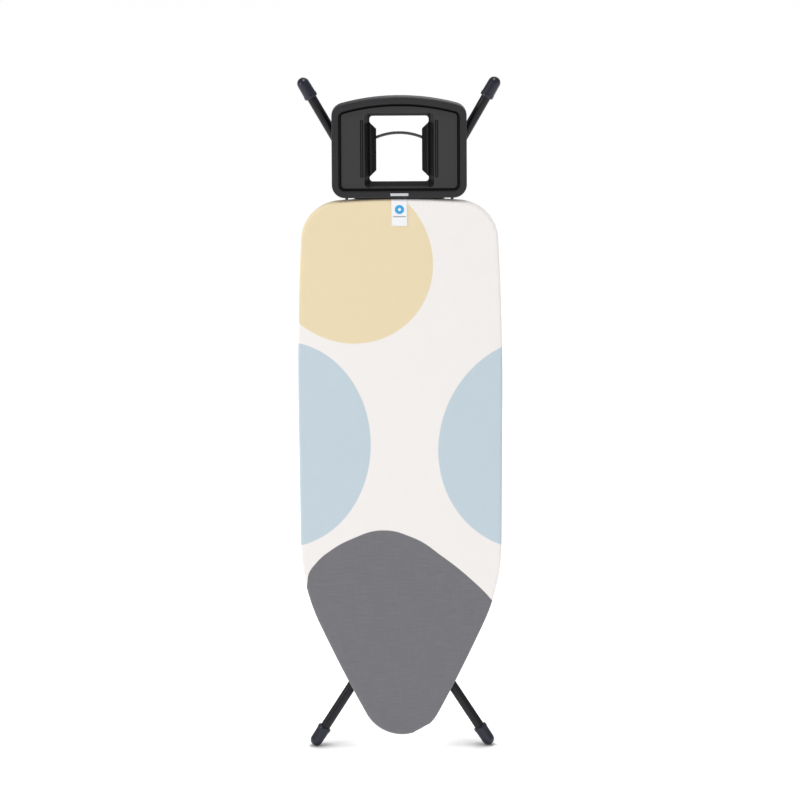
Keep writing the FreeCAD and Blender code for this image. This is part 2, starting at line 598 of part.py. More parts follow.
def make_transport_hook():
    """A hook on the right-hand beam that swings over the folded outer leg. It is drawn swung
    aside, a quarter turn short of the leg."""
    lug, gap = 5.5, 0.5
    low, high = HOOK_Z - HOOK_LENGTH / 2, HOOK_Z + HOOK_LENGTH / 2
    pin = rod_z(low - gap - lug, high + gap + lug, HOOK_X, HOOK_Y, HOOK_PIN_R)
    foot = block(BEAM_X - 11, BEAM_X + 9, BEAM_BACK, -4.0, low - gap - lug, high + gap + lug)
    lugs = []
    for z in (low - gap - lug, high + gap):
        arm = block(HOOK_X, BEAM_X - 11, BEAM_BACK + 2.5, HOOK_Y + 2, z, z + lug)
        lugs.append(arm.fuse(rod_z(z, z + lug, HOOK_X, HOOK_Y, HOOK_HUB_R)))
    bore = rod_z(low - 20, high + 20, HOOK_X, HOOK_Y, HOOK_PIN_R + RUNNING)
    save("hook_bracket", foot.fuse(lugs).removeSplitter().cut(bore))
    save("hook_pin", pin)
    near, far, over = OUTER_X + TUBE_R + 2.0, OUTER_X + TUBE_R + 5.0, OUTER_X - 2.0
    top = LEG_Y + TUBE_R + 1.2
    hub = rod_z(low, high, HOOK_X, HOOK_Y, HOOK_HUB_R)
    root = block(near, HOOK_X, HOOK_Y - 1, HOOK_Y + 4, low, high)
    arm = block(near, far, HOOK_Y, top + 2.6, low, high)
    bill = block(over, near, top, top + 2.6, low, high)
    hook = hub.fuse([root, arm, bill]).removeSplitter().cut(bore)
    hook.rotate(V(HOOK_X, HOOK_Y, 0), Z_AXIS, -90)
    save("transport_hook", hook)


# ---------------------------------------------------------------- iron rest

def rest_runs():
    """The iron rest's outline: flat foot, straight sides and a crowned top."""
    straight = REST_HALF - REST_CORNER_R
    crown = math.asin(straight / (REST_CROWN_R - REST_CORNER_R))
    side_top = REST_HIGH - REST_CROWN_R + (REST_CROWN_R - REST_CORNER_R) * math.cos(crown)
    return [
        ("line", straight),
        ("arc", REST_CORNER_R, 90),
        ("line", side_top - REST_LOW - REST_CORNER_R),
        ("arc", REST_CORNER_R, 90 - math.degrees(crown)),
        ("arc", REST_CROWN_R, math.degrees(crown)),
    ]


REST_RUNS = rest_runs()


def rest_slab(inset, y0, y1):
    return closed_face(REST_RUNS, REST_LOW, inset, y0).extrude(V(0, y1 - y0, 0))


def rest_taper(inset0, y0, inset1, y1):
    """A solid that narrows from one inset outline to another."""
    wires = [closed_face(REST_RUNS, REST_LOW, i, y).OuterWire for i, y in ((inset0, y0), (inset1, y1))]
    return Part.makeLoft(wires, True, True)


def rounded_rectangle(half, low, high, radius, y):
    """A wire centred on X = 0, from z = low to z = high."""
    runs = [("line", half - radius), ("arc", radius, 90), ("line", high - low - 2 * radius),
            ("arc", radius, 90), ("line", half - radius)]
    return closed_face(runs, low, 0, y).OuterWire


def well_cutter(grow):
    """The sunk middle of the rest, grown outwards by a wall thickness."""
    panel = REST_FRONT + PANEL_DROP
    corner = 8.0
    wires = [
        rounded_rectangle(WELL_HALF + grow, WELL_LOW - grow, WELL_HIGH + grow, corner + grow, panel),
        rounded_rectangle(WELL_HALF - WELL_TAPER_X + grow, WELL_LOW + WELL_TAPER_Z - grow,
                          WELL_HIGH - WELL_TAPER_Z + grow, corner + grow, WELL_FLOOR_Y),
    ]
    return Part.makeLoft(wires, True, True)


def opening_points():
    """The opening's outline, waisted by a tongue on each side."""
    half = [(OPENING_HALF, OPENING_LOW), (OPENING_HALF, TONGUE_LOW - TONGUE_CHAMFER),
            (TONGUE_HALF, TONGUE_LOW), (TONGUE_HALF, TONGUE_HIGH),
            (OPENING_HALF, TONGUE_HIGH + TONGUE_CHAMFER), (OPENING_HALF, OPENING_HIGH)]
    return half + [(-x, z) for x, z in reversed(half)]


def capsule(x, z, width, length, y0, y1):
    """A bar with round ends, standing upright."""
    r, reach = width / 2, (length - width) / 2
    body = block(x - r, x + r, y0, y1, z - reach, z + reach)
    return body.fuse([rod_y(y0, y1, x, z - reach, r), rod_y(y0, y1, x, z + reach, r)]).removeSplitter()


REST_CLIPS = [(HOOP_X, 1300.0), (90.0, 1387.2)]
REST_SCREWS = [(HOOP_X - 15.0, 1300.0), (100.6, 1397.8)]


def rest_shell():
    """The moulded body: rim band, sloped step, panel, well, and ribs at the back."""
    panel = REST_FRONT + PANEL_DROP
    body = rest_slab(0, REST_FRONT, REST_BACK)
    body = body.makeFillet(2.0, front_edges(body, REST_FRONT))
    body = body.cut(rest_taper(RIM_BAND, REST_FRONT, RIM_BAND + RIM_SLOPE, panel))
    body = body.cut(well_cutter(0))
    rim_back, panel_back = REST_FRONT + REST_WALL, panel + REST_WALL
    hollow = rest_slab(REST_WALL, panel_back, REST_BACK).cut(well_cutter(REST_WALL))
    floor_edge = REST_WALL + WELL_HALF - WELL_TAPER_X
    floor = prism([(floor_edge, WELL_LOW + 1), (floor_edge, WELL_HIGH - 1),
                   (-floor_edge, WELL_HIGH - 1), (-floor_edge, WELL_LOW + 1)], WELL_FLOOR_Y, REST_BACK)
    body = body.cut(hollow.cut(floor))
    under_rim = rest_slab(REST_WALL, rim_back, panel_back)
    body = body.cut(under_rim.cut(rest_slab(RIM_BAND - REST_WALL, rim_back, panel_back)))
    rib, rib_back = 2.0, REST_BACK - 2.0
    ribs = []
    for z in (1345.0, 1391.0, 1437.0):
        ribs.append(block(WELL_HALF, REST_HALF - REST_WALL, panel_back, rib_back, z, z + rib))
    ribs.append(block(112.0, 112.0 + rib, panel_back, rib_back, REST_LOW + 2, 1480.0))
    posts = [rod_y(panel_back, REST_BACK, x, z, 5.0) for x, z in REST_SCREWS]
    extra = ribs + posts
    return body.fuse(extra + [mirrored(e) for e in extra]).removeSplitter()


def make_rest():
    panel = REST_FRONT + PANEL_DROP
    body = rest_shell()
    opening = prism(opening_points(), REST_FRONT, REST_BACK + 1)
    edges = [e for e in opening.Edges if abs(e.BoundBox.YLength - (REST_BACK + 1 - REST_FRONT)) < 1e-6]
    opening = opening.makeFillet(OPENING_R, edges)
    groove = 0.8
    grooves = both_sides(capsule(STRIP_X, STRIP_Z, STRIP_WIDTH + 0.6, STRIP_LENGTH + 0.6,
                                 panel, panel + groove))
    half_badge = BADGE_WIDTH / 2
    badge = block(-half_badge, half_badge, REST_FRONT, REST_FRONT + BADGE_THICK,
                  BADGE_Z - BADGE_HEIGHT / 2, BADGE_Z + BADGE_HEIGHT / 2)
    screw_holes = [rod_y(-18.0, REST_BACK, x, z, 1.7) for x, z in REST_SCREWS]
    cutters = [opening, badge] + grooves + screw_holes + [mirrored(h) for h in screw_holes]
    save("iron_rest", drilled(body, cutters))
    save("rest_badge", badge)
    strip = capsule(STRIP_X, STRIP_Z, STRIP_WIDTH - 2.0, STRIP_LENGTH - 2.0, panel - 0.8, panel + groove)
    save("rest_strip_right", strip)
    save("rest_strip_left", mirrored(strip))


def make_rest_grips():
    """Soft linings of the well's side walls and tongues, each with one upright rib."""
    gap, thick = 0.05, 1.4
    rib_x, rib_half, rib_high = 62.5, 1.3, 3.0
    floor = WELL_FLOOR_Y - gap
    wall_foot = WELL_HALF - WELL_TAPER_X
    panel = REST_FRONT + PANEL_DROP
    lining = section_z([
        (TONGUE_HALF, floor), (TONGUE_HALF, floor - thick), (rib_x - rib_half, floor - thick),
        (rib_x - rib_half, floor - thick - rib_high), (rib_x + rib_half, floor - thick - rib_high),
        (rib_x + rib_half, floor - thick), (wall_foot - 1.7, floor - thick),
        (WELL_HALF - 1.9, panel + 0.6), (WELL_HALF - 0.5, panel + 0.6), (wall_foot - 0.2, floor),
    ], TONGUE_LOW - TONGUE_CHAMFER + 2, TONGUE_HIGH + TONGUE_CHAMFER - 2)
    waist = prism(opening_points(), REST_FRONT, REST_BACK)
    grip = lining.cut(waist)
    save("rest_grip_right", grip)
    save("rest_grip_left", mirrored(grip))


def hoop_path():
    """Half of the hoop: a straight leg, a bend and half of the crown."""
    lean = math.asin((HOOP_X - HOOP_BEND_R) / (HOOP_CROWN_R - HOOP_BEND_R))
    crown_centre = V(0, HOOP_Y, HOOP_CROWN_Z - HOOP_CROWN_R)
    reach = HOOP_CROWN_R - HOOP_BEND_R
    bend_centre = crown_centre + V(reach * math.sin(lean), 0, reach * math.cos(lean))

    def on(centre, radius, angle):
        return centre + V(radius * math.sin(angle), 0, radius * math.cos(angle))

    leg_top = on(bend_centre, HOOP_BEND_R, math.pi / 2)
    join = on(crown_centre, HOOP_CROWN_R, lean)
    bend_mid = on(bend_centre, HOOP_BEND_R, (lean + math.pi / 2) / 2)
    crown_mid = on(crown_centre, HOOP_CROWN_R, lean / 2)
    top = on(crown_centre, HOOP_CROWN_R, 0)
    start = V(HOOP_X, HOOP_Y, HOOP_LOW)
    return start, Part.Wire([
        Part.LineSegment(start, leg_top).toShape(),
        Part.Arc(leg_top, bend_mid, join).toShape(),
        Part.Arc(join, crown_mid, top).toShape(),
    ])


def half_hoop(radius):
    start, path = hoop_path()
    circle = Part.Wire(Part.makeCircle(radius, start, Z_AXIS))
    return path.makePipeShell([circle], True, True)


def make_hoop():
    """Bent steel rod that carries the rest, held under the top by saddles."""
    half = half_hoop(HOOP_R)
    save("rest_hoop", half.fuse(mirrored(half)).removeSplitter())
    bore = rod_z(HOOP_LOW, REST_LOW, HOOP_X, HOOP_Y, HOOP_R + RUNNING)
    saddles = []
    for base, z in ((BEAM_BACK, 1160.0), (CROSS_BACK, 1205.0)):
        saddle = block(HOOP_X - 6, HOOP_X + 6, base, HOOP_Y + 4.2, z - 8, z + 8)
        saddles.append(saddle.cut(bore))
    save("hoop_saddles", *(saddles + [mirrored(s) for s in saddles]))


def make_rest_clips():
    """Clips that hold the hoop to the rest's posts, each with one screw."""
    groove = half_hoop(HOOP_R + RUNNING)
    front, back = REST_BACK + 0.1, HOOP_Y + HOOP_R + 0.9
    clips, screws = [], []
    for (cx, cz), (sx, sz) in zip(REST_CLIPS, REST_SCREWS):
        pad_r = 6.5
        clip = rod_y(front, back, sx, sz, pad_r).fuse(rod_y(front, back, cx, cz, pad_r + 1))
        across = V(cx - sx, 0, cz - sz).normalize()
        side = V(-across.z, 0, across.x) * pad_r
        ends = (V(cx, 0, cz), V(sx, 0, sz))
        bridge = [ends[0] + side, ends[1] + side, ends[1] - side, ends[0] - side]
        clip = clip.fuse(prism([(p.x, p.z) for p in bridge], front, back)).removeSplitter()
        head_front = back - 2.2
        recess = rod_y(head_front, back, sx, sz, 3.8)
        clips.append(clip.cut(groove).cut(rod_y(front, back, sx, sz, 1.8)).cut(recess))
        screw = rod_y(-17.0, head_front, sx, sz, 1.6).fuse(rod_y(head_front, back - 0.2, sx, sz, 3.5))
        slot_half = 0.4
        slot = block(sx - 3, sx + 3, back - 1.2, back, sz - slot_half, sz + slot_half)
        screws.append(screw.cut(slot))
    save("rest_clips", *(clips + [mirrored(c) for c in clips]))
    save("rest_screws", *(screws + [mirrored(s) for s in screws]))


def make_rest_buffer():
    """Rubber strip between the rest's foot and the board's square end."""
    half, gap = 96.0, 0.3
    save("rest_buffer", block(-half, half, -24.0, -6.0, END_Z + gap, REST_LOW))


def main():
    os.makedirs(OUT, exist_ok=True)
    make_cover()
    make_hem_elastic()
    make_pads()
    make_mesh()
    make_rim()
    make_beams()
    make_crossmembers()
    make_rivets()
    make_hinge_brackets()
    make_outer_legs()
    make_inner_legs()
    make_crossing()
    make_rack()
    make_sliding_bar()
    make_lever()
    make_lever_spring()
    make_transport_hook()
    make_rest()
    make_rest_grips()
    make_hoop()
    make_rest_clips()
    make_rest_buffer()


main()
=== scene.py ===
from math import atan2, cos, hypot, pi, radians, sin

import bmesh
import bpy
from mathutils import Matrix, Vector, noise


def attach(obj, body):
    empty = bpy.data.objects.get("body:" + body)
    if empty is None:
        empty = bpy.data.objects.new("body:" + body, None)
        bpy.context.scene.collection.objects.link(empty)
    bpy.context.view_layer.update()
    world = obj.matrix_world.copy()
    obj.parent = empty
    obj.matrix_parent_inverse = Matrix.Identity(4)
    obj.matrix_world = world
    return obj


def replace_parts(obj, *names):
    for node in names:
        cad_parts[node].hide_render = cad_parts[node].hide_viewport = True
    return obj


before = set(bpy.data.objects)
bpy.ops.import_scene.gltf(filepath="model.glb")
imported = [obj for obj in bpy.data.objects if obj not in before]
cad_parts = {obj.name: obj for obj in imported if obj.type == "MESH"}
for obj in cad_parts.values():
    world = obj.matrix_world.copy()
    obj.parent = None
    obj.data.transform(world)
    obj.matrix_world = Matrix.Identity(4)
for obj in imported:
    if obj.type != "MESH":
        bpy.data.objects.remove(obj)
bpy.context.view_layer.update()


# ---------------------------------------------------------------- view, light and floor
# The folded board stands on a plain pale floor and is seen from straight in front and a
# little above, through a long lens. The light is a white studio with a soft key on the left.

LOOK_AT = Vector((-0.0012, -0.015, 0.8119))
CAMERA_DISTANCE = 24.0
CAMERA_RISE = radians(13.7)
CAMERA_ROLL = radians(-0.32)
LENS_MM, SENSOR_MM = 481.0, 36.0

lens = bpy.data.cameras.new("studio_camera")
lens.lens = LENS_MM
lens.sensor_width = SENSOR_MM
lens.clip_end = 200.0
camera = bpy.data.objects.new("studio_camera", lens)
bpy.context.collection.objects.link(camera)
towards_camera = Vector((0.0, -cos(CAMERA_RISE), sin(CAMERA_RISE)))
camera.location = LOOK_AT + towards_camera * CAMERA_DISTANCE
upright = towards_camera.to_track_quat("Z", "Y").to_matrix()
camera.rotation_euler = (upright @ Matrix.Rotation(CAMERA_ROLL, 3, "Z")).to_euler()
bpy.context.scene.camera = camera
bpy.context.scene.view_settings.view_transform = "Standard"


def add_softbox(name, place, watts, size):
    """A square soft light that faces the middle of the board."""
    data = bpy.data.lights.new(name, "AREA")
    data.energy = watts
    data.size = size
    light = bpy.data.objects.new(name, data)
    light.location = place
    light.rotation_euler = (Vector(place) - LOOK_AT).to_track_quat("Z", "Y").to_euler()
    bpy.context.collection.objects.link(light)


add_softbox("key_light", (-3.6, -1.9, 2.0), 38.0, 1.2)
add_softbox("fill_light", (3.4, -2.6, 1.6), 7.0, 1.2)
add_softbox("back_light", (0.8, 3.6, 2.8), 26.0, 2.4)
add_softbox("overhead_light", (0.0, -0.4, 4.4), 50.0, 1.3)

studio = bpy.data.worlds.new("white_studio")
studio.use_nodes = True
studio.node_tree.nodes["Background"].inputs["Color"].default_value = (1.0, 1.0, 1.0, 1.0)
studio.node_tree.nodes["Background"].inputs["Strength"].default_value = 0.42
bpy.context.scene.world = studio


def srgb(red, green, blue):
    """A colour as a shader takes it, from three numbers of 0 to 255."""
    linear = [(c / 255 / 12.92) if c <= 10 else ((c / 255 + 0.055) / 1.055) ** 2.4
              for c in (red, green, blue)]
    return (*linear, 1.0)


def new_finish(name, **values):
    """A material, with plain values on its shader's own sockets."""
    material = bpy.data.materials.new(name)
    material.use_nodes = True
    tree = material.node_tree
    shader = tree.nodes["Principled BSDF"]
    for socket, value in values.items():
        shader.inputs[socket.replace("_", " ")].default_value = value
    return material, tree, shader


def add_node(tree, kind, inputs=None, **settings):
    """A node in a tree. Each named input is given a value, or a socket that feeds it."""
    node = tree.nodes.new("ShaderNode" + kind)
    for name, value in settings.items():
        setattr(node, name, value)
    for socket, source in (inputs or {}).items():
        if isinstance(source, bpy.types.NodeSocket):
            tree.links.new(source, node.inputs[socket])
        else:
            node.inputs[socket].default_value = source
    return node


def object_coords(tree):
    return add_node(tree, "TexCoord").outputs["Object"]


def axes_of(tree, vector):
    """A vector's three numbers, by axis."""
    return add_node(tree, "SeparateXYZ", {"Vector": vector}).outputs


def add_math(tree, operation, first, second=0.0):
    return add_node(tree, "Math", {0: first, 1: second}, operation=operation).outputs[0]


def add_ramp(tree, value, low, high, to_low=0.0, to_high=1.0):
    """Maps low..high to to_low..to_high with soft ends."""
    node = add_node(tree, "MapRange", {"Value": value, "From Min": low, "From Max": high,
                                       "To Min": to_low, "To Max": to_high},
                    interpolation_type="SMOOTHSTEP")
    return node.outputs[0]


def mix_colours(tree, mask, first, second):
    """The first colour where the mask is 0, and the second where it is 1."""
    factor, colour_a, colour_b, result = 0, 6, 7, 2
    node = add_node(tree, "Mix", {factor: mask, colour_a: first, colour_b: second}, data_type="RGBA")
    return node.outputs[result]


def new_piece(name, bm, material, body, smooth_angle=35.0):
    """A finished bmesh as an object at the origin, smooth up to an angle, on its body."""
    mesh = bpy.data.meshes.new(name)
    bm.to_mesh(mesh)
    bm.free()
    mesh.materials.append(material)
    mesh.polygons.foreach_set("use_smooth", [True] * len(mesh.polygons))
    mesh.set_sharp_from_angle(angle=radians(smooth_angle))
    piece = bpy.data.objects.new(name, mesh)
    bpy.context.collection.objects.link(piece)
    if body:
        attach(piece, body)
    return piece


FLOOR_HALF = 60.0
FLOOR_TONES = srgb(251, 251, 251), srgb(248, 248, 248)
# The dark tone is a painted contact shadow, and the white one the floor's even brightness.
PAINTED_SHADOW_AND_GLOW_TONES = srgb(40, 40, 40), srgb(255, 255, 255)
# How far up the floor looks for things that shade it: near the middle, and out by the feet.
SHADE_FROM_X, SHADE_REACH = (0.05, 0.17), (0.035, 0.17)
SHADE_OPENNESS = 0.60, 0.985

floor_paint, tree, shader = new_finish("floor_paint", Roughness=0.9, Specular_IOR_Level=0.0,
                                       Emission_Strength=0.58)
spots = object_coords(tree)
# The floor glows like a light table, and its emission is darkened where things stand close above it: a
# painted contact shadow.
sideways = add_math(tree, "ABSOLUTE", axes_of(tree, spots)["X"])
reach = add_ramp(tree, sideways, *SHADE_FROM_X, *SHADE_REACH)
open_air = add_node(tree, "AmbientOcclusion", {"Distance": reach}, samples=16).outputs["AO"]
shadowed_glow = mix_colours(tree, add_ramp(tree, open_air, *SHADE_OPENNESS), *PAINTED_SHADOW_AND_GLOW_TONES)
tree.links.new(shadowed_glow, shader.inputs["Emission Color"])
mottle = add_node(tree, "TexNoise", {"Vector": spots, "Scale": 0.8})
tree.links.new(mix_colours(tree, mottle.outputs[0], *FLOOR_TONES), shader.inputs["Base Color"])
bm = bmesh.new()
bmesh.ops.create_grid(bm, x_segments=1, y_segments=1, size=FLOOR_HALF)
floor = new_piece("floor", bm, floor_paint, None)


# ---------------------------------------------------------------- printed cover
# A cotton cover pulled over the pads and round the rim. It is printed with four plain round
# shapes. Its hem is gathered behind the rim by an elastic in a narrow tunnel.

# The board's edge from the nose, up the right-hand side to the middle of the square end:
# arcs as (radius, degrees) and straight runs as (length, None).
BOARD_NOSE_Z, BOARD_END_Z = 0.036, 1.276
BOARD_EDGE = [(0.0910, 61.5), (2.970, 3.5), (0.04997, None), (0.463, 24.5), (0.32462, None),
              (6.0, 3.6), (0.0920, 82.4), (1.730, 4.5)]
NOSE_RADIUS = 0.0910
COVER_FRONT, COVER_BACK = -0.0292, -0.0048
COVER_ROUND = 0.0060
HEM_DEPTH = 0.0460
CLOTH_THICK = 0.0008
MERGE, SPINE_MERGE = 1e-6, 1e-5


def start_shape():
    """An empty mesh. Its vertices can keep their place on the outline, the way inwards, where
    they start from, the distance round the edge, and the zone of the piece they belong to."""
    bm = bmesh.new()
    for name in ("place", "inward", "home"):
        bm.verts.layers.float_vector.new(name)
    for name in ("along", "zone"):
        bm.verts.layers.float.new(name)
    return bm


def layers_of(bm):
    """The layers of place, way inwards and distance round."""
    vectors = bm.verts.layers.float_vector
    return vectors["place"], vectors["inward"], bm.verts.layers.float["along"]


def draw_edge(bm, runs, low_z, y, spacing):
    """Draws a closed flat outline: arcs and straight runs up the right-hand side, each tangent
    to the last, then mirrored. Every vertex keeps its place, the way inwards and the distance
    round, which sweep_edge uses. Returns the outline's edges."""
    tip = bmesh.ops.create_vert(bm, co=(0.0, y, low_z))["vert"][0]
    first, heading = tip, 0.0
    chain = [tip]
    for amount, degrees in runs:
        if degrees is None:
            steps = max(1, round(amount / spacing))
            stride = Vector((cos(heading), 0.0, sin(heading))) * (amount / steps)
            for _ in range(steps):
                grown = bmesh.ops.extrude_vert_indiv(bm, verts=[tip])["verts"][0]
                bmesh.ops.translate(bm, verts=[grown], vec=stride)
                tip = grown
                chain.append(tip)
        else:
            turn = radians(degrees)
            steps = max(3, round(amount * turn / spacing))
            centre = tip.co + Vector((-sin(heading), 0.0, cos(heading))) * amount
            known = set(bm.verts)
            spun = bmesh.ops.spin(bm, geom=[tip], cent=centre, axis=(0, -1, 0), angle=turn, steps=steps)
            tip = [v for v in spun["geom_last"] if isinstance(v, bmesh.types.BMVert)][0]
            chain += [v for v in bm.verts if v not in known]
            heading += turn
    tip.co.x = 0.0
    edges = list({e for v in chain for e in v.link_edges})
    bmesh.ops.mirror(bm, geom=chain + edges, merge_dist=MERGE, axis="X")
    edges = [e for e in bm.edges if not e.link_faces]
    place, inward, along = layers_of(bm)
    start = min((v for e in edges for v in e.verts), key=lambda v: v.co.z)
    loose = set(edges)
    before, here = None, start
    ring = [start]
    while True:
        ahead = [e.other_vert(here) for e in here.link_edges if e in loose]
        ahead = [v for v in ahead if v is not before]
        following = max(ahead, key=lambda v: v.co.x) if before is None else ahead[0]
        if following is start:
            break
        ring.append(following)
        before, here = here, following
    travelled = 0.0
    for i, v in enumerate(ring):
        tangent = (ring[(i + 1) % len(ring)].co - ring[i - 1].co).normalized()
        v[place] = v.co
        v[inward] = Vector((-tangent.z, 0.0, tangent.x))
        if i:
            travelled += (v.co - ring[i - 1].co).length
        v[along] = travelled
    return edges


def ring_verts(edges):
    return list({v for e in edges for v in e.verts})


def grown_ring(bm, edges):
    """Extrudes a row or ring of edges in place and returns its new edges and vertices."""
    grown = bmesh.ops.extrude_edge_only(bm, edges=edges)["geom"]
    fresh = {v for v in grown if isinstance(v, bmesh.types.BMVert)}
    ring = [e for e in grown if isinstance(e, bmesh.types.BMEdge)
            and e.verts[0] in fresh and e.verts[1] in fresh]
    return ring, fresh


def sweep_edge(bm, edges, profile):
    """Sweeps an outline through a profile of (inset, y) and returns the last ring's edges."""
    place, inward, _ = layers_of(bm)
    for i, (inset, y) in enumerate(profile):
        if i:
            edges, _ = grown_ring(bm, edges)
        for v in ring_verts(edges):
            v.co = v[place] + v[inward] * inset
            v.co.y = y
    return edges


def close_to_spine(bm, edges, low_z, high_z, steps):
    """Carries a ring inwards to the board's centreline in even steps and closes it there."""
    home = bm.verts.layers.float_vector["home"]
    for v in ring_verts(edges):
        v[home] = v.co
    for step in range(1, steps + 1):
        edges, fresh = grown_ring(bm, edges)
        for v in fresh:
            start = v[home]
            goal = Vector((0.0, start.y, min(max(start.z, low_z), high_z)))
            v.co = start.lerp(goal, step / steps)
    bmesh.ops.remove_doubles(bm, verts=ring_verts(edges), dist=SPINE_MERGE)


def rounded(inset, y, radius, y_step, steps=5, outwards=False):
    """A quarter round of a profile, from its side wall (inset, y) round to the flat face.
    y_step is -1 for a face towards the front and +1 for one towards the back."""
    turns = [i / steps * pi / 2 for i in range(steps + 1)]
    points = [(inset + radius * (1 - cos(a)), y + y_step * radius * sin(a)) for a in turns]
    return points[::-1] if outwards else points


SPINE_LOW, SPINE_HIGH = BOARD_NOSE_Z + NOSE_RADIUS, 1.110
EDGE_SPACING, FACE_STEPS = 0.0040, 9
HEM_ROUND = 0.0018
HEM_INSETS = 0.0425, 0.0405, 0.0400, 0.0340, 0.0280, 0.0215, 0.0150, 0.0095, 0.0050, 0.0030
FACE_INSETS = 0.0085, 0.0130, 0.0200, 0.0300, 0.0420, 0.0580
GATHER_PITCH, GATHER_DEPTH = 0.0185, 0.0011
ON_FACE, FACE_UNEVEN, FACE_EASE = 0.0004, 0.00035, 0.030
NOSE_CREASE, CREASE_PULL, CREASE_REACH = (radians(15.7), radians(42.7)), 1.35, 0.035

bm = start_shape()
outline = draw_edge(bm, BOARD_EDGE, BOARD_NOSE_Z, COVER_BACK, EDGE_SPACING)
hem = [(HEM_DEPTH + 0.0005, COVER_BACK)]
hem += [(inset, COVER_BACK) for inset in HEM_INSETS]
hem += rounded(0.0, COVER_BACK - HEM_ROUND, HEM_ROUND, 1, 3, outwards=True)
side = [(0.0, -0.0120), (0.0, -0.0180)]
front = rounded(0.0, COVER_FRONT + COVER_ROUND, COVER_ROUND, -1, 6)
front += [(inset, COVER_FRONT) for inset in FACE_INSETS]
inner_ring = sweep_edge(bm, outline, hem + side + front)
close_to_spine(bm, inner_ring, SPINE_LOW, SPINE_HIGH, FACE_STEPS)
bmesh.ops.recalc_face_normals(bm, faces=bm.faces[:])

place, inward, along = layers_of(bm)
crease_middle = sum(NOSE_CREASE) / 2
crease_half = (NOSE_CREASE[1] - NOSE_CREASE[0]) / 2
for v in bm.verts:
    root = v[place]
    depth = hypot(v.co.x - root.x, v.co.z - root.z)
    if v.co.y > COVER_BACK - ON_FACE:
        gather = sin(2 * pi * v[along] / GATHER_PITCH + 2.1 * sin(v[along] * 23.0))
        gather *= 0.75 + 0.5 * noise.noise(Vector((v[along] * 30.0, 0.0, 0.0)))
        v.co.y += GATHER_DEPTH * gather * min(1.0, depth / HEM_DEPTH) ** 1.6
    elif v.co.y < COVER_FRONT + ON_FACE:
        swell = 1.0 + noise.noise(Vector((v.co.x * 11.0, 0.0, v.co.z * 7.0)))
        v.co.y += min(1.0, depth / FACE_EASE) * FACE_UNEVEN * swell
    turn = atan2(root.x, SPINE_LOW - root.z)
    if NOSE_CREASE[0] < turn < NOSE_CREASE[1]:
        chord = NOSE_RADIUS * (1.0 - cos(crease_half) / cos(turn - crease_middle))
        v.co += v[inward] * (CREASE_PULL * chord * max(0.0, 1.0 - depth / CREASE_REACH))


def lay_cloth_map(bm, name="cloth"):
    """A UV map in metres: the distance round the edge, and the distance in from it."""
    uv = bm.loops.layers.uv.new(name)
    place, _, along = layers_of(bm)
    whole = max(v[along] for v in bm.verts)
    for face in bm.faces:
        rounds = [loop.vert[along] for loop in face.loops]
        crosses = max(rounds) - min(rounds) > whole / 2
        for loop, travelled in zip(face.loops, rounds):
            root, co = loop.vert[place], loop.vert.co
            depth = hypot(co.x - root.x, co.z - root.z)
            loop[uv].uv = (travelled + (whole if crosses and travelled < whole / 2 else 0.0), depth)


lay_cloth_map(bm)


def new_group(name, inputs, outputs):
    """A shader node group. Returns its tree, its inputs by name and its outputs by name."""
    group = bpy.data.node_groups.new(name, "ShaderNodeTree")
    for label, kind, value in inputs:
        socket = group.interface.new_socket(name=label, in_out="INPUT", socket_type="NodeSocket" + kind)
        if value is not None:
            socket.default_value = value
    for label, kind in outputs:
        group.interface.new_socket(name=label, in_out="OUTPUT", socket_type="NodeSocket" + kind)
    entry = group.nodes.new("NodeGroupInput")
    leave = group.nodes.new("NodeGroupOutput")
    return group, entry.outputs, leave.inputs


def use_group(tree, group, inputs):
    return add_node(tree, "Group", inputs, node_tree=group).outputs


# Plain weave: threads over and under, with thicker and thinner picks across the cloth.
weave, given, result = new_group(
    "plain_weave",
    [("Vector", "Vector", None), ("Color", "Color", (1, 1, 1, 1)), ("Thread", "Float", 0.0009),
     ("Slub", "Float", 0.06), ("Roughness", "Float", 0.85)],
    [("Color", "Color"), ("Roughness", "Float"), ("Height", "Float")])
axes = axes_of(weave, given["Vector"])
wave_rate = add_math(weave, "DIVIDE", pi, given["Thread"])
warp = add_math(weave, "SINE", add_math(weave, "MULTIPLY", axes["X"], wave_rate))
weft = add_math(weave, "SINE", add_math(weave, "MULTIPLY", axes["Z"], wave_rate))
crossing = add_math(weave, "MULTIPLY", warp, weft)
stretched = add_node(weave, "Mapping", {"Vector": given["Vector"], "Scale": (30.0, 30.0, 430.0)})
slub_x = add_node(weave, "TexNoise", {"Vector": stretched.outputs[0], "Scale": 1.0, "Detail": 3.0})
upright_map = add_node(weave, "Mapping", {"Vector": given["Vector"], "Scale": (520.0, 30.0, 20.0)})
slub_z = add_node(weave, "TexNoise", {"Vector": upright_map.outputs[0], "Scale": 1.0, "Detail": 2.0})
uneven = add_math(weave, "SUBTRACT", add_math(weave, "ADD", slub_x.outputs[0],
                  add_math(weave, "MULTIPLY", slub_z.outputs[0], 0.5)), 0.75)
shade = add_math(weave, "ADD", 1.0, add_math(weave, "MULTIPLY", uneven, given["Slub"]))
tinted = add_node(weave, "VectorMath", {0: given["Color"]}, operation="SCALE")
weave.links.new(shade, tinted.inputs["Scale"])
weave.links.new(tinted.outputs["Vector"], result["Color"])
weave.links.new(add_math(weave, "ADD", given["Roughness"], add_math(weave, "MULTIPLY", uneven, 0.10)),
                result["Roughness"])
weave.links.new(add_math(weave, "ADD", add_math(weave, "MULTIPLY", crossing, 0.5),
                         add_math(weave, "MULTIPLY", uneven, 0.6)), result["Height"])


def add_bump(tree, shader, height, depth, strength=1.0):
    """Feeds a height into the shader's normal through a Bump node."""
    bump = add_node(tree, "Bump", {"Height": height, "Distance": depth, "Strength": strength})
    tree.links.new(bump.outputs["Normal"], shader.inputs["Normal"])


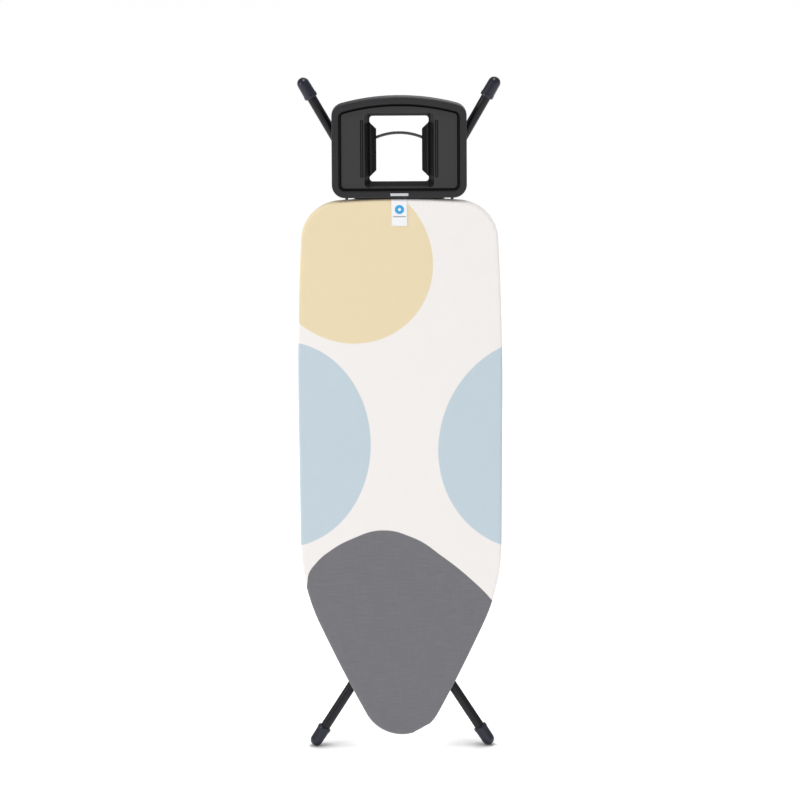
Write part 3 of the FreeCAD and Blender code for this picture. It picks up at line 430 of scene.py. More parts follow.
def wear(tree, shader, skin, depth):
    """Feeds a group's colour, roughness and height into a shader."""
    tree.links.new(skin["Color"], shader.inputs["Base Color"])
    tree.links.new(skin["Roughness"], shader.inputs["Roughness"])
    add_bump(tree, shader, skin["Height"], depth)


def ellipse_mask(tree, coords, centre, radii, turn=0.0, blur=0.006):
    """1 inside an ellipse of the print, seen from the front, and 0 outside it."""
    centred = add_node(tree, "Mapping", {"Vector": coords, "Location": (centre[0], 0.0, centre[1]),
                                         "Rotation": (0.0, radians(turn), 0.0),
                                         "Scale": (radii[0], 1000.0, radii[1])}, vector_type="TEXTURE")
    length = add_node(tree, "VectorMath", {0: centred.outputs[0]}, operation="LENGTH")
    return add_ramp(tree, length.outputs["Value"], 1.0 - blur, 1.0 + blur, 1.0, 0.0)


PRINT_WHITE = srgb(246, 242, 239)
PRINT_YELLOW = srgb(238, 221, 184)
PRINT_BLUE = srgb(198, 213, 222)
PRINT_GREY = srgb(120, 120, 124)
YELLOW_DISC = (-0.1115, 1.1374), (0.183, 0.194), -30.0
LEFT_BLUE = (-0.2632, 0.7135), (0.1957, 0.238), 0.0
RIGHT_BLUE = (0.3104, 0.7129), (0.2235, 0.2494), 18.0
GREY_SPAN = -0.235, 0.235
GREY_HEIGHTS = 0.300, 0.520
# The top of the grey shape, from left to right, as (across, up).
GREY_TOP = [(-0.235, 0.300), (-0.2148, 0.372), (-0.209, 0.414), (-0.192, 0.4385), (-0.170, 0.4595),
            (-0.110, 0.4945), (-0.042, 0.5135), (0.022, 0.498), (0.0925, 0.452), (0.160, 0.3955),
            (0.206, 0.3465), (0.235, 0.300)]
PRINT_EDGE = 0.0012
PLAIN_SLUB, GREY_SLUB = 0.04, 0.30
STITCH_PITCH, STITCH_SKIP, STITCH_HALF, STITCH_ROWS = 0.0032, 0.32, 0.00035, (0.0352, 0.0385)

cover_print, tree, shader = new_finish("cover_print", Roughness=0.85, Specular_IOR_Level=0.22,
                                       Sheen_Weight=0.25, Sheen_Roughness=0.4)
coords = object_coords(tree)
axes = axes_of(tree, coords)
colour = mix_colours(tree, ellipse_mask(tree, coords, *YELLOW_DISC), PRINT_WHITE, PRINT_YELLOW)
colour = mix_colours(tree, ellipse_mask(tree, coords, *LEFT_BLUE), colour, PRINT_BLUE)
colour = mix_colours(tree, ellipse_mask(tree, coords, *RIGHT_BLUE), colour, PRINT_BLUE)
across = add_ramp(tree, axes["X"], *GREY_SPAN)
across.node.interpolation_type = "LINEAR"
curve = add_node(tree, "FloatCurve", {"Value": across})
line = curve.mapping.curves[0]
grey_wide, grey_high = GREY_SPAN[1] - GREY_SPAN[0], GREY_HEIGHTS[1] - GREY_HEIGHTS[0]
for i, (x, z) in enumerate(GREY_TOP):
    spot = ((x - GREY_SPAN[0]) / grey_wide, (z - GREY_HEIGHTS[0]) / grey_high)
    if i in (0, len(GREY_TOP) - 1):
        line.points[0 if i == 0 else -1].location = spot
    else:
        line.points.new(*spot)
curve.mapping.update()
grey_rise = add_math(tree, "MULTIPLY", curve.outputs[0], grey_high)
above = add_math(tree, "SUBTRACT", axes["Z"], add_math(tree, "ADD", grey_rise, GREY_HEIGHTS[0]))
grey_mask = add_ramp(tree, above, -PRINT_EDGE, PRINT_EDGE, 1.0, 0.0)
colour = mix_colours(tree, grey_mask, colour, PRINT_GREY)
slub = add_math(tree, "ADD", PLAIN_SLUB, add_math(tree, "MULTIPLY", grey_mask, GREY_SLUB))
woven = use_group(tree, weave, {"Vector": coords, "Color": colour, "Thread": 0.00085, "Slub": slub,
                                "Roughness": 0.84})
# Two rows of stitches hold the tunnel of the elastic.
cloth_map = axes_of(tree, add_node(tree, "UVMap", uv_map="cloth").outputs[0])
stitches = add_math(tree, "FRACT", add_math(tree, "DIVIDE", cloth_map["X"], STITCH_PITCH))
dash = add_math(tree, "GREATER_THAN", stitches, STITCH_SKIP)
rows = [add_math(tree, "COMPARE", cloth_map["Y"], depth) for depth in STITCH_ROWS]
for row in rows:
    row.node.inputs[2].default_value = STITCH_HALF
stitch = add_math(tree, "MULTIPLY", dash, add_math(tree, "MAXIMUM", *rows))
behind = add_math(tree, "GREATER_THAN", axes["Y"], COVER_BACK - 0.003)
stitch = add_math(tree, "MULTIPLY", stitch, behind)
thread_colour = mix_colours(tree, stitch, woven["Color"], srgb(250, 249, 247))
tree.links.new(thread_colour, shader.inputs["Base Color"])
tree.links.new(woven["Roughness"], shader.inputs["Roughness"])
raised = add_math(tree, "ADD", woven["Height"], add_math(tree, "MULTIPLY", stitch, 2.0))
add_bump(tree, shader, raised, 0.00012)

cover = new_piece("printed_cover", bm, cover_print, "board", 60.0)
cloth = cover.modifiers.new("cloth_thickness", "SOLIDIFY")
cloth.thickness = CLOTH_THICK
cloth.offset = -1.0
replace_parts(cover, "cover")

# The elastic runs in a ruffled tunnel at the hem's inner edge.
TUNNEL_INSET, TUNNEL_Y, TUNNEL_WIDE, TUNNEL_HIGH = 0.0488, COVER_BACK - 0.0002, 0.0034, 0.0019
TUNNEL_SIDES, RUFFLE = 10, 0.17
tunnel_cloth, tree, shader = new_finish("tunnel_cloth", Roughness=0.88, Specular_IOR_Level=0.2,
                                        Sheen_Weight=0.15)
coords = object_coords(tree)
woven = use_group(tree, weave, {"Vector": coords, "Color": srgb(238, 236, 232), "Thread": 0.0011,
                                "Slub": 0.22, "Roughness": 0.88})
wear(tree, shader, woven, 0.0002)

bm = start_shape()
outline = draw_edge(bm, BOARD_EDGE, BOARD_NOSE_Z, COVER_BACK, EDGE_SPACING)
section = [(TUNNEL_INSET + TUNNEL_WIDE * cos(a), TUNNEL_Y + TUNNEL_HIGH * sin(a))
           for a in (i * 2 * pi / TUNNEL_SIDES for i in range(TUNNEL_SIDES + 1))]
sweep_edge(bm, outline, section)
bmesh.ops.remove_doubles(bm, verts=bm.verts[:], dist=MERGE)
place, inward, along = layers_of(bm)
for v in bm.verts:
    middle = v[place] + v[inward] * TUNNEL_INSET
    middle.y = TUNNEL_Y
    ruffle = sin(2 * pi * v[along] / (GATHER_PITCH * 0.5) + 1.7 * sin(v[along] * 31.0))
    ruffle += 0.6 * noise.noise(Vector((v[along] * 90.0, 1.0, 0.0)))
    v.co = middle + (v.co - middle) * (1.0 + RUFFLE * ruffle)
bmesh.ops.recalc_face_normals(bm, faces=bm.faces[:])
tunnel = new_piece("elastic_tunnel", bm, tunnel_cloth, "board", 70.0)
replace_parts(tunnel, "hem_elastic")


# ---------------------------------------------------------------- felt and foam pads
# Under the cover lie a needled felt sheet and an open-cell foam pad, cut to the board's shape.
# The foam shows from behind through the steel mesh.

PAD_INSET, PAD_INSETS = 0.0060, (0.024, 0.040, 0.058)
PAD_SPACING, PAD_STEPS, PAD_UNEVEN = 0.010, 6, 0.00012
FELT_FRONT, FELT_BACK, FOAM_BACK = -0.0281, -0.0261, -0.0225


def pad_shape(front_y, back_y, soften):
    """A slab of the board's shape with soft edges and a slightly uneven surface."""
    bm = start_shape()
    edge = draw_edge(bm, BOARD_EDGE, BOARD_NOSE_Z, back_y, PAD_SPACING)
    insets = (PAD_INSET + soften * 2, *PAD_INSETS)
    back = [(inset, back_y) for inset in reversed(insets)]
    back += rounded(PAD_INSET, back_y - soften, soften, 1, 3, outwards=True)
    front = rounded(PAD_INSET, front_y + soften, soften, -1, 3)
    front += [(inset, front_y) for inset in insets]
    front_ring = sweep_edge(bm, edge, back + front)
    close_to_spine(bm, front_ring, SPINE_LOW, SPINE_HIGH, PAD_STEPS)
    back_ring = [e for e in bm.edges if e.is_boundary]
    close_to_spine(bm, back_ring, SPINE_LOW, SPINE_HIGH, PAD_STEPS)
    middle = (front_y + back_y) / 2
    for v in bm.verts:
        sink = PAD_UNEVEN * (1.0 + noise.noise(v.co * 60.0))
        v.co.y += sink if v.co.y < middle else -sink
    bmesh.ops.recalc_face_normals(bm, faces=bm.faces[:])
    return bm


felt_wool, tree, shader = new_finish("felt_wool", Roughness=0.95, Specular_IOR_Level=0.1,
                                     Sheen_Weight=0.3)
coords = object_coords(tree)
fibres = add_node(tree, "TexNoise", {"Vector": coords, "Scale": 420.0, "Detail": 6.0, "Distortion": 2.2})
flecks = add_node(tree, "TexNoise", {"Vector": coords, "Scale": 90.0, "Detail": 2.0})
colour = mix_colours(tree, fibres.outputs[0], srgb(214, 210, 200), srgb(238, 236, 230))
colour = mix_colours(tree, add_ramp(tree, flecks.outputs[0], 0.66, 0.74), colour, srgb(168, 172, 184))
tree.links.new(colour, shader.inputs["Base Color"])
add_bump(tree, shader, fibres.outputs[0], 0.0005)
felt = new_piece("felt_sheet", pad_shape(FELT_FRONT, FELT_BACK, 0.0006), felt_wool, "board",
                 60.0)
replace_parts(felt, "felt_layer")

foam_cells, tree, shader = new_finish("foam_cells", Roughness=0.9, Specular_IOR_Level=0.15)
coords = object_coords(tree)
cells = add_node(tree, "TexVoronoi", {"Vector": coords, "Scale": 900.0}, feature="DISTANCE_TO_EDGE")
tint = add_node(tree, "TexNoise", {"Vector": coords, "Scale": 12.0, "Detail": 3.0})
colour = mix_colours(tree, tint.outputs[0], srgb(226, 214, 176), srgb(240, 232, 204))
cell_wall = add_ramp(tree, cells.outputs[0], 0.0, 0.16, 0.0, 0.45)
colour = mix_colours(tree, cell_wall, srgb(248, 242, 222), colour)
tree.links.new(colour, shader.inputs["Base Color"])
add_bump(tree, shader, cells.outputs[0], 0.0004)
foam = new_piece("foam_sheet", pad_shape(FELT_BACK, FOAM_BACK, 0.0010), foam_cells, "board",
                 60.0)
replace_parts(foam, "foam_pad")


# ---------------------------------------------------------------- label
# A white woven label sewn over the top edge of the cover. It carries a plain blue disc with a
# small white diamond, and one thin grey line.

LABEL_WIDTH, LABEL_FOOT_Z = 0.0360, 1.2160
LABEL_THICK, LABEL_GAP = 0.00035, 0.00010
LABEL_COLUMNS, LABEL_ROWS, LABEL_BACK_RUNS = 12, 24, (0.004, 0.008)
LABEL_CURL, LABEL_LIFT = 0.007, 0.0005
DISC_Z, DISC_RADIUS, DIAMOND_HALF = 1.2535, 0.0104, 0.0042
LINE_Z, LINE_HALF_HIGH, LINE_HALF_LONG = 1.2370, 0.0011, 0.0143
LABEL_BLUE, LABEL_INK = srgb(58, 168, 226), srgb(150, 150, 158)

label_weave, tree, shader = new_finish("label_weave", Roughness=0.6, Specular_IOR_Level=0.3,
                                       Sheen_Weight=0.1)
coords = object_coords(tree)
axes = axes_of(tree, coords)
disc = ellipse_mask(tree, coords, (0.0, DISC_Z), (DISC_RADIUS, DISC_RADIUS), blur=0.03)
from_disc = add_math(tree, "ABSOLUTE", add_math(tree, "SUBTRACT", axes["Z"], DISC_Z))
spread = add_math(tree, "ADD", add_math(tree, "ABSOLUTE", axes["X"]), from_disc)
diamond = add_ramp(tree, spread, DIAMOND_HALF - 0.0002, DIAMOND_HALF + 0.0002, 1.0, 0.0)
from_line = add_math(tree, "ABSOLUTE", add_math(tree, "SUBTRACT", axes["Z"], LINE_Z))
line = add_math(tree, "MULTIPLY", add_math(tree, "LESS_THAN", from_line, LINE_HALF_HIGH),
                add_math(tree, "LESS_THAN", add_math(tree, "ABSOLUTE", axes["X"]), LINE_HALF_LONG))
colour = mix_colours(tree, disc, srgb(247, 246, 248), LABEL_BLUE)
colour = mix_colours(tree, add_math(tree, "MULTIPLY", disc, diamond), colour, srgb(250, 250, 250))
colour = mix_colours(tree, line, colour, LABEL_INK)
woven = use_group(tree, weave, {"Vector": coords, "Color": colour, "Thread": 0.00045, "Slub": 0.05,
                                "Roughness": 0.6})
wear(tree, shader, woven, 0.00008)

label_face = COVER_FRONT - LABEL_GAP
bm = bmesh.new()
row = [bmesh.ops.create_vert(bm, co=(-LABEL_WIDTH / 2, label_face, LABEL_FOOT_Z))["vert"][0]]
for _ in range(LABEL_COLUMNS):
    row.append(bmesh.ops.extrude_vert_indiv(bm, verts=[row[-1]])["verts"][0])
    bmesh.ops.translate(bm, verts=[row[-1]], vec=(LABEL_WIDTH / LABEL_COLUMNS, 0.0, 0.0))
bend_z, bend_y = BOARD_END_Z - COVER_ROUND, COVER_FRONT + COVER_ROUND
bend = COVER_ROUND + LABEL_GAP
stops = [(label_face, LABEL_FOOT_Z + (bend_z - LABEL_FOOT_Z) * i / LABEL_ROWS)
         for i in range(1, LABEL_ROWS + 1)]
stops += [(bend_y - bend * cos(a), bend_z + bend * sin(a)) for a in (i * pi / 12 for i in range(1, 7))]
stops += [(bend_y + run, bend_z + bend) for run in LABEL_BACK_RUNS]
row = bm.edges[:]
for y, z in stops:
    row, fresh = grown_ring(bm, row)
    for v in fresh:
        v.co.y, v.co.z = y, z
for v in bm.verts:
    lift = max(0.0, (LABEL_FOOT_Z + LABEL_CURL - v.co.z) / LABEL_CURL)
    v.co.y -= LABEL_LIFT * lift ** 2 * (1.0 + 0.5 * sin(v.co.x * 260.0))
    if v.co.y < COVER_FRONT + 0.001:
        v.co.y -= 0.00010 * (1.0 + noise.noise(Vector((v.co.x * 80.0, 0.0, v.co.z * 60.0))))
bmesh.ops.recalc_face_normals(bm, faces=bm.faces[:])
if sum(f.normal.y for f in bm.faces) > 0.0:
    bmesh.ops.reverse_faces(bm, faces=bm.faces[:])
label = new_piece("cover_label_tape", bm, label_weave, "board", 60.0)
tape = label.modifiers.new("tape_thickness", "SOLIDIFY")
tape.thickness = LABEL_THICK
tape.offset = 1.0
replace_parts(label, "cover_label")


# ---------------------------------------------------------------- steel mesh top
# The ironing top is expanded steel, slit and stretched into diamonds, with a plain margin
# welded to the pressed rim. Mesh and rim have a light grey powder coat.

DIAMOND_WIDE, DIAMOND_LONG = 0.0120, 0.0240
STRAND_HALF = 0.0011
MESH_Y, MESH_THICK = -0.0217, 0.0011
MARGIN_OUT, MARGIN_MIDDLE, MARGIN_IN, MARGIN_LAP = 0.0036, 0.0130, 0.0220, 0.0190
LATTICE_WIDE, LATTICE_LONG = 0.46, 1.24
STRAND_TILT = 0.00035

# A fine orange-peel coat, for painted steel and moulded plastic.
coat, given, result = new_group(
    "fine_coat",
    [("Vector", "Vector", None), ("Color", "Color", (1, 1, 1, 1)), ("Grain", "Float", 900.0),
     ("Mottle", "Float", 0.10), ("Roughness", "Float", 0.4), ("Gloss Spread", "Float", 0.12)],
    [("Color", "Color"), ("Roughness", "Float"), ("Height", "Float")])
grain = add_node(coat, "TexNoise", {"Vector": given["Vector"], "Scale": given["Grain"], "Detail": 3.0})
cloud = add_node(coat, "TexNoise", {"Vector": given["Vector"], "Scale": 17.0, "Detail": 4.0})
patch = add_math(coat, "SUBTRACT", cloud.outputs[0], 0.5)
shade = add_math(coat, "ADD", 1.0, add_math(coat, "MULTIPLY", patch, given["Mottle"]))
tinted = add_node(coat, "VectorMath", {0: given["Color"]}, operation="SCALE")
coat.links.new(shade, tinted.inputs["Scale"])
coat.links.new(tinted.outputs["Vector"], result["Color"])
speckle = add_math(coat, "MULTIPLY", add_math(coat, "SUBTRACT", grain.outputs[0], 0.5), 0.5)
wander = add_math(coat, "MULTIPLY", add_math(coat, "ADD", patch, speckle), given["Gloss Spread"])
coat.links.new(add_math(coat, "ADD", given["Roughness"], wander), result["Roughness"])
coat.links.new(grain.outputs[0], result["Height"])


def coated_finish(name, colour, roughness, grain, depth, mottle=0.12, spread=0.12, **values):
    """A painted or moulded finish made with the fine coat."""
    material, tree, shader = new_finish(name, Roughness=roughness, **values)
    skin = use_group(tree, coat, {"Vector": object_coords(tree), "Color": colour, "Grain": grain,
                                  "Mottle": mottle, "Roughness": roughness, "Gloss Spread": spread})
    wear(tree, shader, skin, depth)
    return material


def dress(material, *nodes):
    """Gives CAD nodes their finish."""
    for name in nodes:
        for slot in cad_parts[name].material_slots:
            slot.material = material


grey_coat = coated_finish("grey_powder_coat", srgb(178, 180, 183), 0.42, 700.0, 0.00006, 0.10)
dress(grey_coat, "rim_frame")

bm = start_shape()
edge = draw_edge(bm, BOARD_EDGE, BOARD_NOSE_Z, MESH_Y, 0.006)
half_widths = sorted((v.co.z, abs(v.co.x)) for v in bm.verts if v.co.x >= 0.0)
sweep_edge(bm, edge, [(inset, MESH_Y) for inset in (MARGIN_OUT, MARGIN_MIDDLE, MARGIN_IN)])


def half_width_at(z):
    """The board's half width at a height, from its outline."""
    for (low_z, low_x), (high_z, high_x) in zip(half_widths, half_widths[1:]):
        if low_z <= z <= high_z:
            share = (z - low_z) / max(high_z - low_z, 1e-9)
            return low_x + (high_x - low_x) * share
    return 0.0


def inside_margin(co, inset):
    """Whether a place in the mesh is at least about inset from the board's edge."""
    if not BOARD_NOSE_Z + inset < co.z < BOARD_END_Z - inset:
        return False
    nearest = min(half_width_at(co.z + inset * share) for share in (-0.7, 0.0, 0.7))
    return abs(co.x) < nearest - inset * 0.95


cells = int(LATTICE_WIDE / DIAMOND_WIDE) + int(LATTICE_LONG / DIAMOND_LONG) + 4
lattice = bmesh.new()
bmesh.ops.create_grid(lattice, x_segments=cells, y_segments=cells, size=cells / 2)
for degrees, axis in ((45, "Z"), (90, "X")):
    bmesh.ops.rotate(lattice, verts=lattice.verts[:], cent=(0, 0, 0),
                     matrix=Matrix.Rotation(radians(degrees), 3, axis))
diagonal = 2 ** 0.5
bmesh.ops.scale(lattice, verts=lattice.verts[:],
                vec=(DIAMOND_WIDE / diagonal, 1.0, DIAMOND_LONG / diagonal))
bmesh.ops.translate(lattice, verts=lattice.verts[:],
                    vec=(0.0, MESH_Y, (BOARD_NOSE_Z + BOARD_END_Z) / 2))
outside = [f for f in lattice.faces if not inside_margin(f.calc_center_median(), MARGIN_LAP)]
bmesh.ops.delete(lattice, geom=outside, context="FACES")
openings = lattice.faces[:]
bmesh.ops.inset_individual(lattice, faces=openings, thickness=STRAND_HALF, use_even_offset=True)
bmesh.ops.delete(lattice, geom=openings, context="FACES")
for v in lattice.verts:
    v.co.y += STRAND_TILT * sin((v.co.x + v.co.z * 0.5) * 2 * pi / DIAMOND_WIDE)


def join_part(bm, part):
    """Adds a finished part to a mesh."""
    holder = bpy.data.meshes.new("part")
    part.to_mesh(holder)
    part.free()
    bm.from_mesh(holder)
    bpy.data.meshes.remove(holder)


join_part(bm, lattice)
bmesh.ops.recalc_face_normals(bm, faces=bm.faces[:])
for f in bm.faces:
    if f.normal.y > 0.0:
        f.normal_flip()
mesh_top = new_piece("expanded_mesh", bm, grey_coat, "board", 50.0)
sheet_steel = mesh_top.modifiers.new("steel_thickness", "SOLIDIFY")
sheet_steel.thickness = MESH_THICK
sheet_steel.offset = 0.0
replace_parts(mesh_top, "ironing_mesh")


# ---------------------------------------------------------------- iron rest
# One dark heat-resistant moulding: a rounded rim, a sunk panel and a tapered well in the
# middle with a waisted opening. Dark rubber strips and linings keep the iron off the plastic.

REST_LOW, REST_HIGH = 1.2793, 1.5097
REST_EDGE = [(0.1210, None), (0.0300, 90.0), (0.1542, None), (0.0300, 74.75), (0.4900, 15.25)]
REST_FRONT, REST_BACK = -0.0300, -0.0045
REST_ROUND, RIM_BAND, RIM_SLOPE, PANEL_Y = 0.0035, 0.0155, 0.0062, -0.0240
GROOVE_Y = -0.0195
WELL_MIDDLE_Z, WELL_HALF, WELL_HALF_TALL, WELL_CORNER = 1.3880, 0.0775, 0.0850, 0.0080
WELL_FLOOR_Y, WELL_FLOOR_SHARE_X, WELL_FLOOR_SHARE_Z = -0.0070, 0.8774, 0.9530
OPENING_HALF, OPENING_LOW, OPENING_HIGH = 0.0660, 1.3130, 1.4630
TONGUE_HALF, TONGUE_LOW, TONGUE_HIGH, TONGUE_CHAMFER = 0.0510, 1.3390, 1.4335, 0.0145
REST_WALL = 0.0024

RIM_TONE, PANEL_TONE = srgb(44, 44, 46), srgb(57, 57, 58)
# The groove's near-black and the well's dark tones are painted shade.
GROOVE_PAINTED_SHADE, WELL_PAINTED_SHADE, WELL_SIDE_PAINTED_SHADE = srgb(12, 12, 14), srgb(42, 42, 44), srgb(14, 14, 16)
# Each vertex keeps its zone, and the rim's is 0. The tones change between these values. The near-black
# groove and strip seats and the dark well walls, darkest on the well's sides, are painted shade; the rim
# is a darker tone than the panel.
PANEL_ZONE, GROOVE_ZONE, WELL_ZONE = 1 / 3, 2 / 3, 1.0
TO_PANEL, TO_GROOVE, TO_WELL, TO_WELL_SIDE_SHADE = (0.10, 0.30), (0.37, 0.60), (0.70, 0.95), (0.0640, 0.0670)

rest_plastic, tree, shader = new_finish("rest_plastic", Roughness=0.5, Specular_IOR_Level=0.22)
coords = object_coords(tree)
zone = add_node(tree, "Attribute", attribute_name="zone").outputs["Fac"]
sideways = add_math(tree, "ABSOLUTE", axes_of(tree, coords)["X"])
well_painted_shade = mix_colours(tree, add_ramp(tree, sideways, *TO_WELL_SIDE_SHADE), WELL_PAINTED_SHADE, WELL_SIDE_PAINTED_SHADE)
tone = mix_colours(tree, add_ramp(tree, zone, *TO_PANEL), RIM_TONE, PANEL_TONE)
tone = mix_colours(tree, add_ramp(tree, zone, *TO_GROOVE), tone, GROOVE_PAINTED_SHADE)
tone = mix_colours(tree, add_ramp(tree, zone, *TO_WELL), tone, well_painted_shade)
skin = use_group(tree, coat, {"Vector": coords, "Color": tone, "Grain": 1500.0, "Mottle": 0.10,
                              "Roughness": 0.50, "Gloss Spread": 0.10})
wear(tree, shader, skin, 0.00005)

GROOVE_IN, PANEL_IN = RIM_BAND, RIM_BAND + RIM_SLOPE
REST_SPACING, WELL_SPACING = 0.0035, 0.004
bm = start_shape()
edge = draw_edge(bm, REST_EDGE, REST_LOW, REST_BACK, REST_SPACING)
profile = [(0.0, REST_BACK), (0.0, REST_BACK - 0.0012), (0.0, -0.0160)]
profile += rounded(0.0, REST_FRONT + REST_ROUND, REST_ROUND, -1, 6)
profile += [(0.0055, REST_FRONT + 0.0002), (0.0115, REST_FRONT + 0.0002),
            (GROOVE_IN - 0.0022, REST_FRONT + 0.0003), (GROOVE_IN - 0.0010, REST_FRONT + 0.0008),
            (GROOVE_IN - 0.0004, REST_FRONT + 0.0020), (GROOVE_IN + 0.0002, GROOVE_Y - 0.0006),
            (GROOVE_IN + 0.0010, GROOVE_Y), (GROOVE_IN + 0.0040, GROOVE_Y),
            (GROOVE_IN + 0.0046, GROOVE_Y - 0.0006), (PANEL_IN - 0.0008, PANEL_Y + 0.0008),
            (PANEL_IN - 0.0004, PANEL_Y + 0.0001), (PANEL_IN + 0.0003, PANEL_Y)]
sweep_edge(bm, edge, profile)
place, _, _ = layers_of(bm)
zone_layer = bm.verts.layers.float["zone"]
for v in bm.verts:
    inset = hypot(v.co.x - v[place].x, v.co.z - v[place].z)
    if inset > PANEL_IN - 0.0003:
        v[zone_layer] = PANEL_ZONE
    elif inset > GROOVE_IN - 0.0002:
        v[zone_layer] = GROOVE_ZONE

# The well's rings, as (share of its depth, share of its taper). The last is its floor's edge.
WELL_RINGS = [(0.012, 0.0066), (0.045, 0.045), (0.50, 0.50), (0.955, 0.955), (0.988, 0.988), (1.0, 1.0)]
FLOOR_EDGE_X, FLOOR_EDGE_Z = 0.992, 0.995
WELL_EDGE = [(WELL_HALF - WELL_CORNER, None), (WELL_CORNER, 90.0),
             (2 * (WELL_HALF_TALL - WELL_CORNER), None), (WELL_CORNER, 90.0),
             (WELL_HALF - WELL_CORNER, None)]
well = start_shape()
ring = draw_edge(well, WELL_EDGE, WELL_MIDDLE_Z - WELL_HALF_TALL, PANEL_Y, WELL_SPACING)
place, _, _ = layers_of(well)
for share, taper in WELL_RINGS:
    ring, fresh = grown_ring(well, ring)
    narrow, shorten = 1.0 + (WELL_FLOOR_SHARE_X - 1.0) * taper, 1.0 + (WELL_FLOOR_SHARE_Z - 1.0) * taper
    for v in fresh:
        v.co.x = v[place].x * narrow
        v.co.z = WELL_MIDDLE_Z + (v[place].z - WELL_MIDDLE_Z) * shorten
        v.co.y = PANEL_Y + (WELL_FLOOR_Y - PANEL_Y) * share
for v in ring_verts(ring):
    v.co.x *= FLOOR_EDGE_X
    v.co.z = WELL_MIDDLE_Z + (v.co.z - WELL_MIDDLE_Z) * FLOOR_EDGE_Z
    v.co.y = WELL_FLOOR_Y

ON_PLANE = 1e-5
OPENING_CORNER, TONGUE_CORNER, LIP_DEPTHS = 0.0070, 0.0029, (0.0004, 0.0022)
tongue_ends = TONGUE_LOW - TONGUE_CHAMFER, TONGUE_LOW, TONGUE_HIGH, TONGUE_HIGH + TONGUE_CHAMFER
corner_half = [(OPENING_HALF, OPENING_LOW), (OPENING_HALF, TONGUE_LOW - TONGUE_CHAMFER),
               (TONGUE_HALF, TONGUE_LOW), (TONGUE_HALF, TONGUE_HIGH),
               (OPENING_HALF, TONGUE_HIGH + TONGUE_CHAMFER), (OPENING_HALF, OPENING_HIGH)]
corners = [well.verts.new((x, WELL_FLOOR_Y, z)) for x, z in corner_half]
corners += [well.verts.new((-x, WELL_FLOOR_Y, z)) for x, z in reversed(corner_half)]
well.faces.new(corners)
sharp = [v for v in corners if v.co.z in (corners[0].co.z, corners[5].co.z)]
bmesh.ops.bevel(well, geom=sharp, affect="VERTICES", offset=OPENING_CORNER, segments=5,
                profile=0.5, material=-1)
opening = [f for f in well.faces if len(f.verts) > 8][0]
blunt = [v for v in opening.verts if min(abs(v.co.z - z) for z in tongue_ends) < ON_PLANE]
bmesh.ops.bevel(well, geom=blunt, affect="VERTICES", offset=TONGUE_CORNER, segments=3,
                profile=0.5, material=-1)
opening = [f for f in well.faces if len(f.verts) > 8][0]
lip = opening.edges[:]
bmesh.ops.delete(well, geom=[opening], context="FACES_ONLY")
bmesh.ops.triangle_fill(well, use_beauty=True, use_dissolve=False, edges=ring + lip, normal=(0, -1, 0))
for depth in LIP_DEPTHS:
    lip, fresh = grown_ring(well, lip)
    for v in fresh:
        v.co.y = WELL_FLOOR_Y + depth


def keep_zone(part, zone):
    """Gives a part of the moulding its zone, but for what lies in the panel's plane."""
    layer = part.verts.layers.float["zone"]
    for v in part.verts:
        v[layer] = PANEL_ZONE if v.co.y < PANEL_Y + ON_PLANE else zone


# The well's walls and floor take the well's painted shade.
keep_zone(well, WELL_ZONE)
join_part(bm, well)

# A shallow seat for the rubber strip on each side of the well. It takes the groove's zone, and with it
# the groove's painted shade.
STRIP_X, STRIP_MIDDLE_Z, SEAT_HALF, SEAT_RUN, SEAT_DEEP = 0.0835, 1.3910, 0.00365, 0.1253, 0.0008
SEAT_SPACING = 0.0015
for side in (-1, 1):
    seat = start_shape()
    ring = draw_edge(seat, [(SEAT_HALF, 90.0), (SEAT_RUN, None), (SEAT_HALF, 90.0)],
                     STRIP_MIDDLE_Z - SEAT_RUN / 2 - SEAT_HALF, PANEL_Y, SEAT_SPACING)
    ring = sweep_edge(seat, ring, [(0.0, PANEL_Y), (0.0001, PANEL_Y + SEAT_DEEP)])
    bmesh.ops.contextual_create(seat, geom=ring)
    keep_zone(seat, GROOVE_ZONE)
    bmesh.ops.translate(seat, verts=seat.verts[:], vec=(side * STRIP_X, 0.0, 0.0))
    join_part(bm, seat)
bmesh.ops.remove_doubles(bm, verts=bm.verts[:], dist=MERGE)


def in_panel(item):
    """Whether an edge or a face lies in the panel's plane."""
    return all(abs(v.co.y - PANEL_Y) < ON_PLANE for v in item.verts)


panel_edges = [e for e in bm.edges if e.is_boundary and in_panel(e)]
bmesh.ops.triangle_fill(bm, use_beauty=True, use_dissolve=False, edges=panel_edges, normal=(0, -1, 0))
bmesh.ops.recalc_face_normals(bm, faces=bm.faces[:])
if sum(f.normal.y * f.calc_area() for f in bm.faces if in_panel(f)) > 0.0:
    bmesh.ops.reverse_faces(bm, faces=bm.faces[:])
rest = new_piece("iron_rest_moulding", bm, rest_plastic, "board", 32.0)
shell = rest.modifiers.new("wall_thickness", "SOLIDIFY")
shell.thickness = REST_WALL
shell.offset = -1.0
shell.use_even_offset = False
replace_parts(rest, "iron_rest")

# Ribs and screw posts behind the panel.
RIB_THICK, RIB_BACK, RIB_HEIGHTS = 0.0020, -0.0065, (1.3450, 1.3910, 1.4370)
UPRIGHT_X, POST_RADIUS = 0.1120, 0.0050
SCREW_SPOTS = [(0.1030, 1.3000), (0.1006, 1.3978)]
# Each rib and upright starts behind the panel, and steps back where it passes the groove.
panel_back, groove_back = PANEL_Y + REST_WALL / 2, GROOVE_Y + REST_WALL / 2
RIB_RUNS = [(panel_back, 0.0760, 0.1288), (groove_back, 0.1282, 0.1490)]
UPRIGHT_RUNS = [(panel_back, 1.3018, 1.4730), (groove_back, REST_LOW + 0.0010, 1.3024)]
bm = bmesh.new()


def add_box(bm, low, high):
    """A block between two corners."""
    low, high = Vector(low), Vector(high)
    made = bmesh.ops.create_cube(bm, size=1.0)["verts"]
    bmesh.ops.scale(bm, verts=made, vec=high - low)
    bmesh.ops.translate(bm, verts=made, vec=(low + high) / 2)


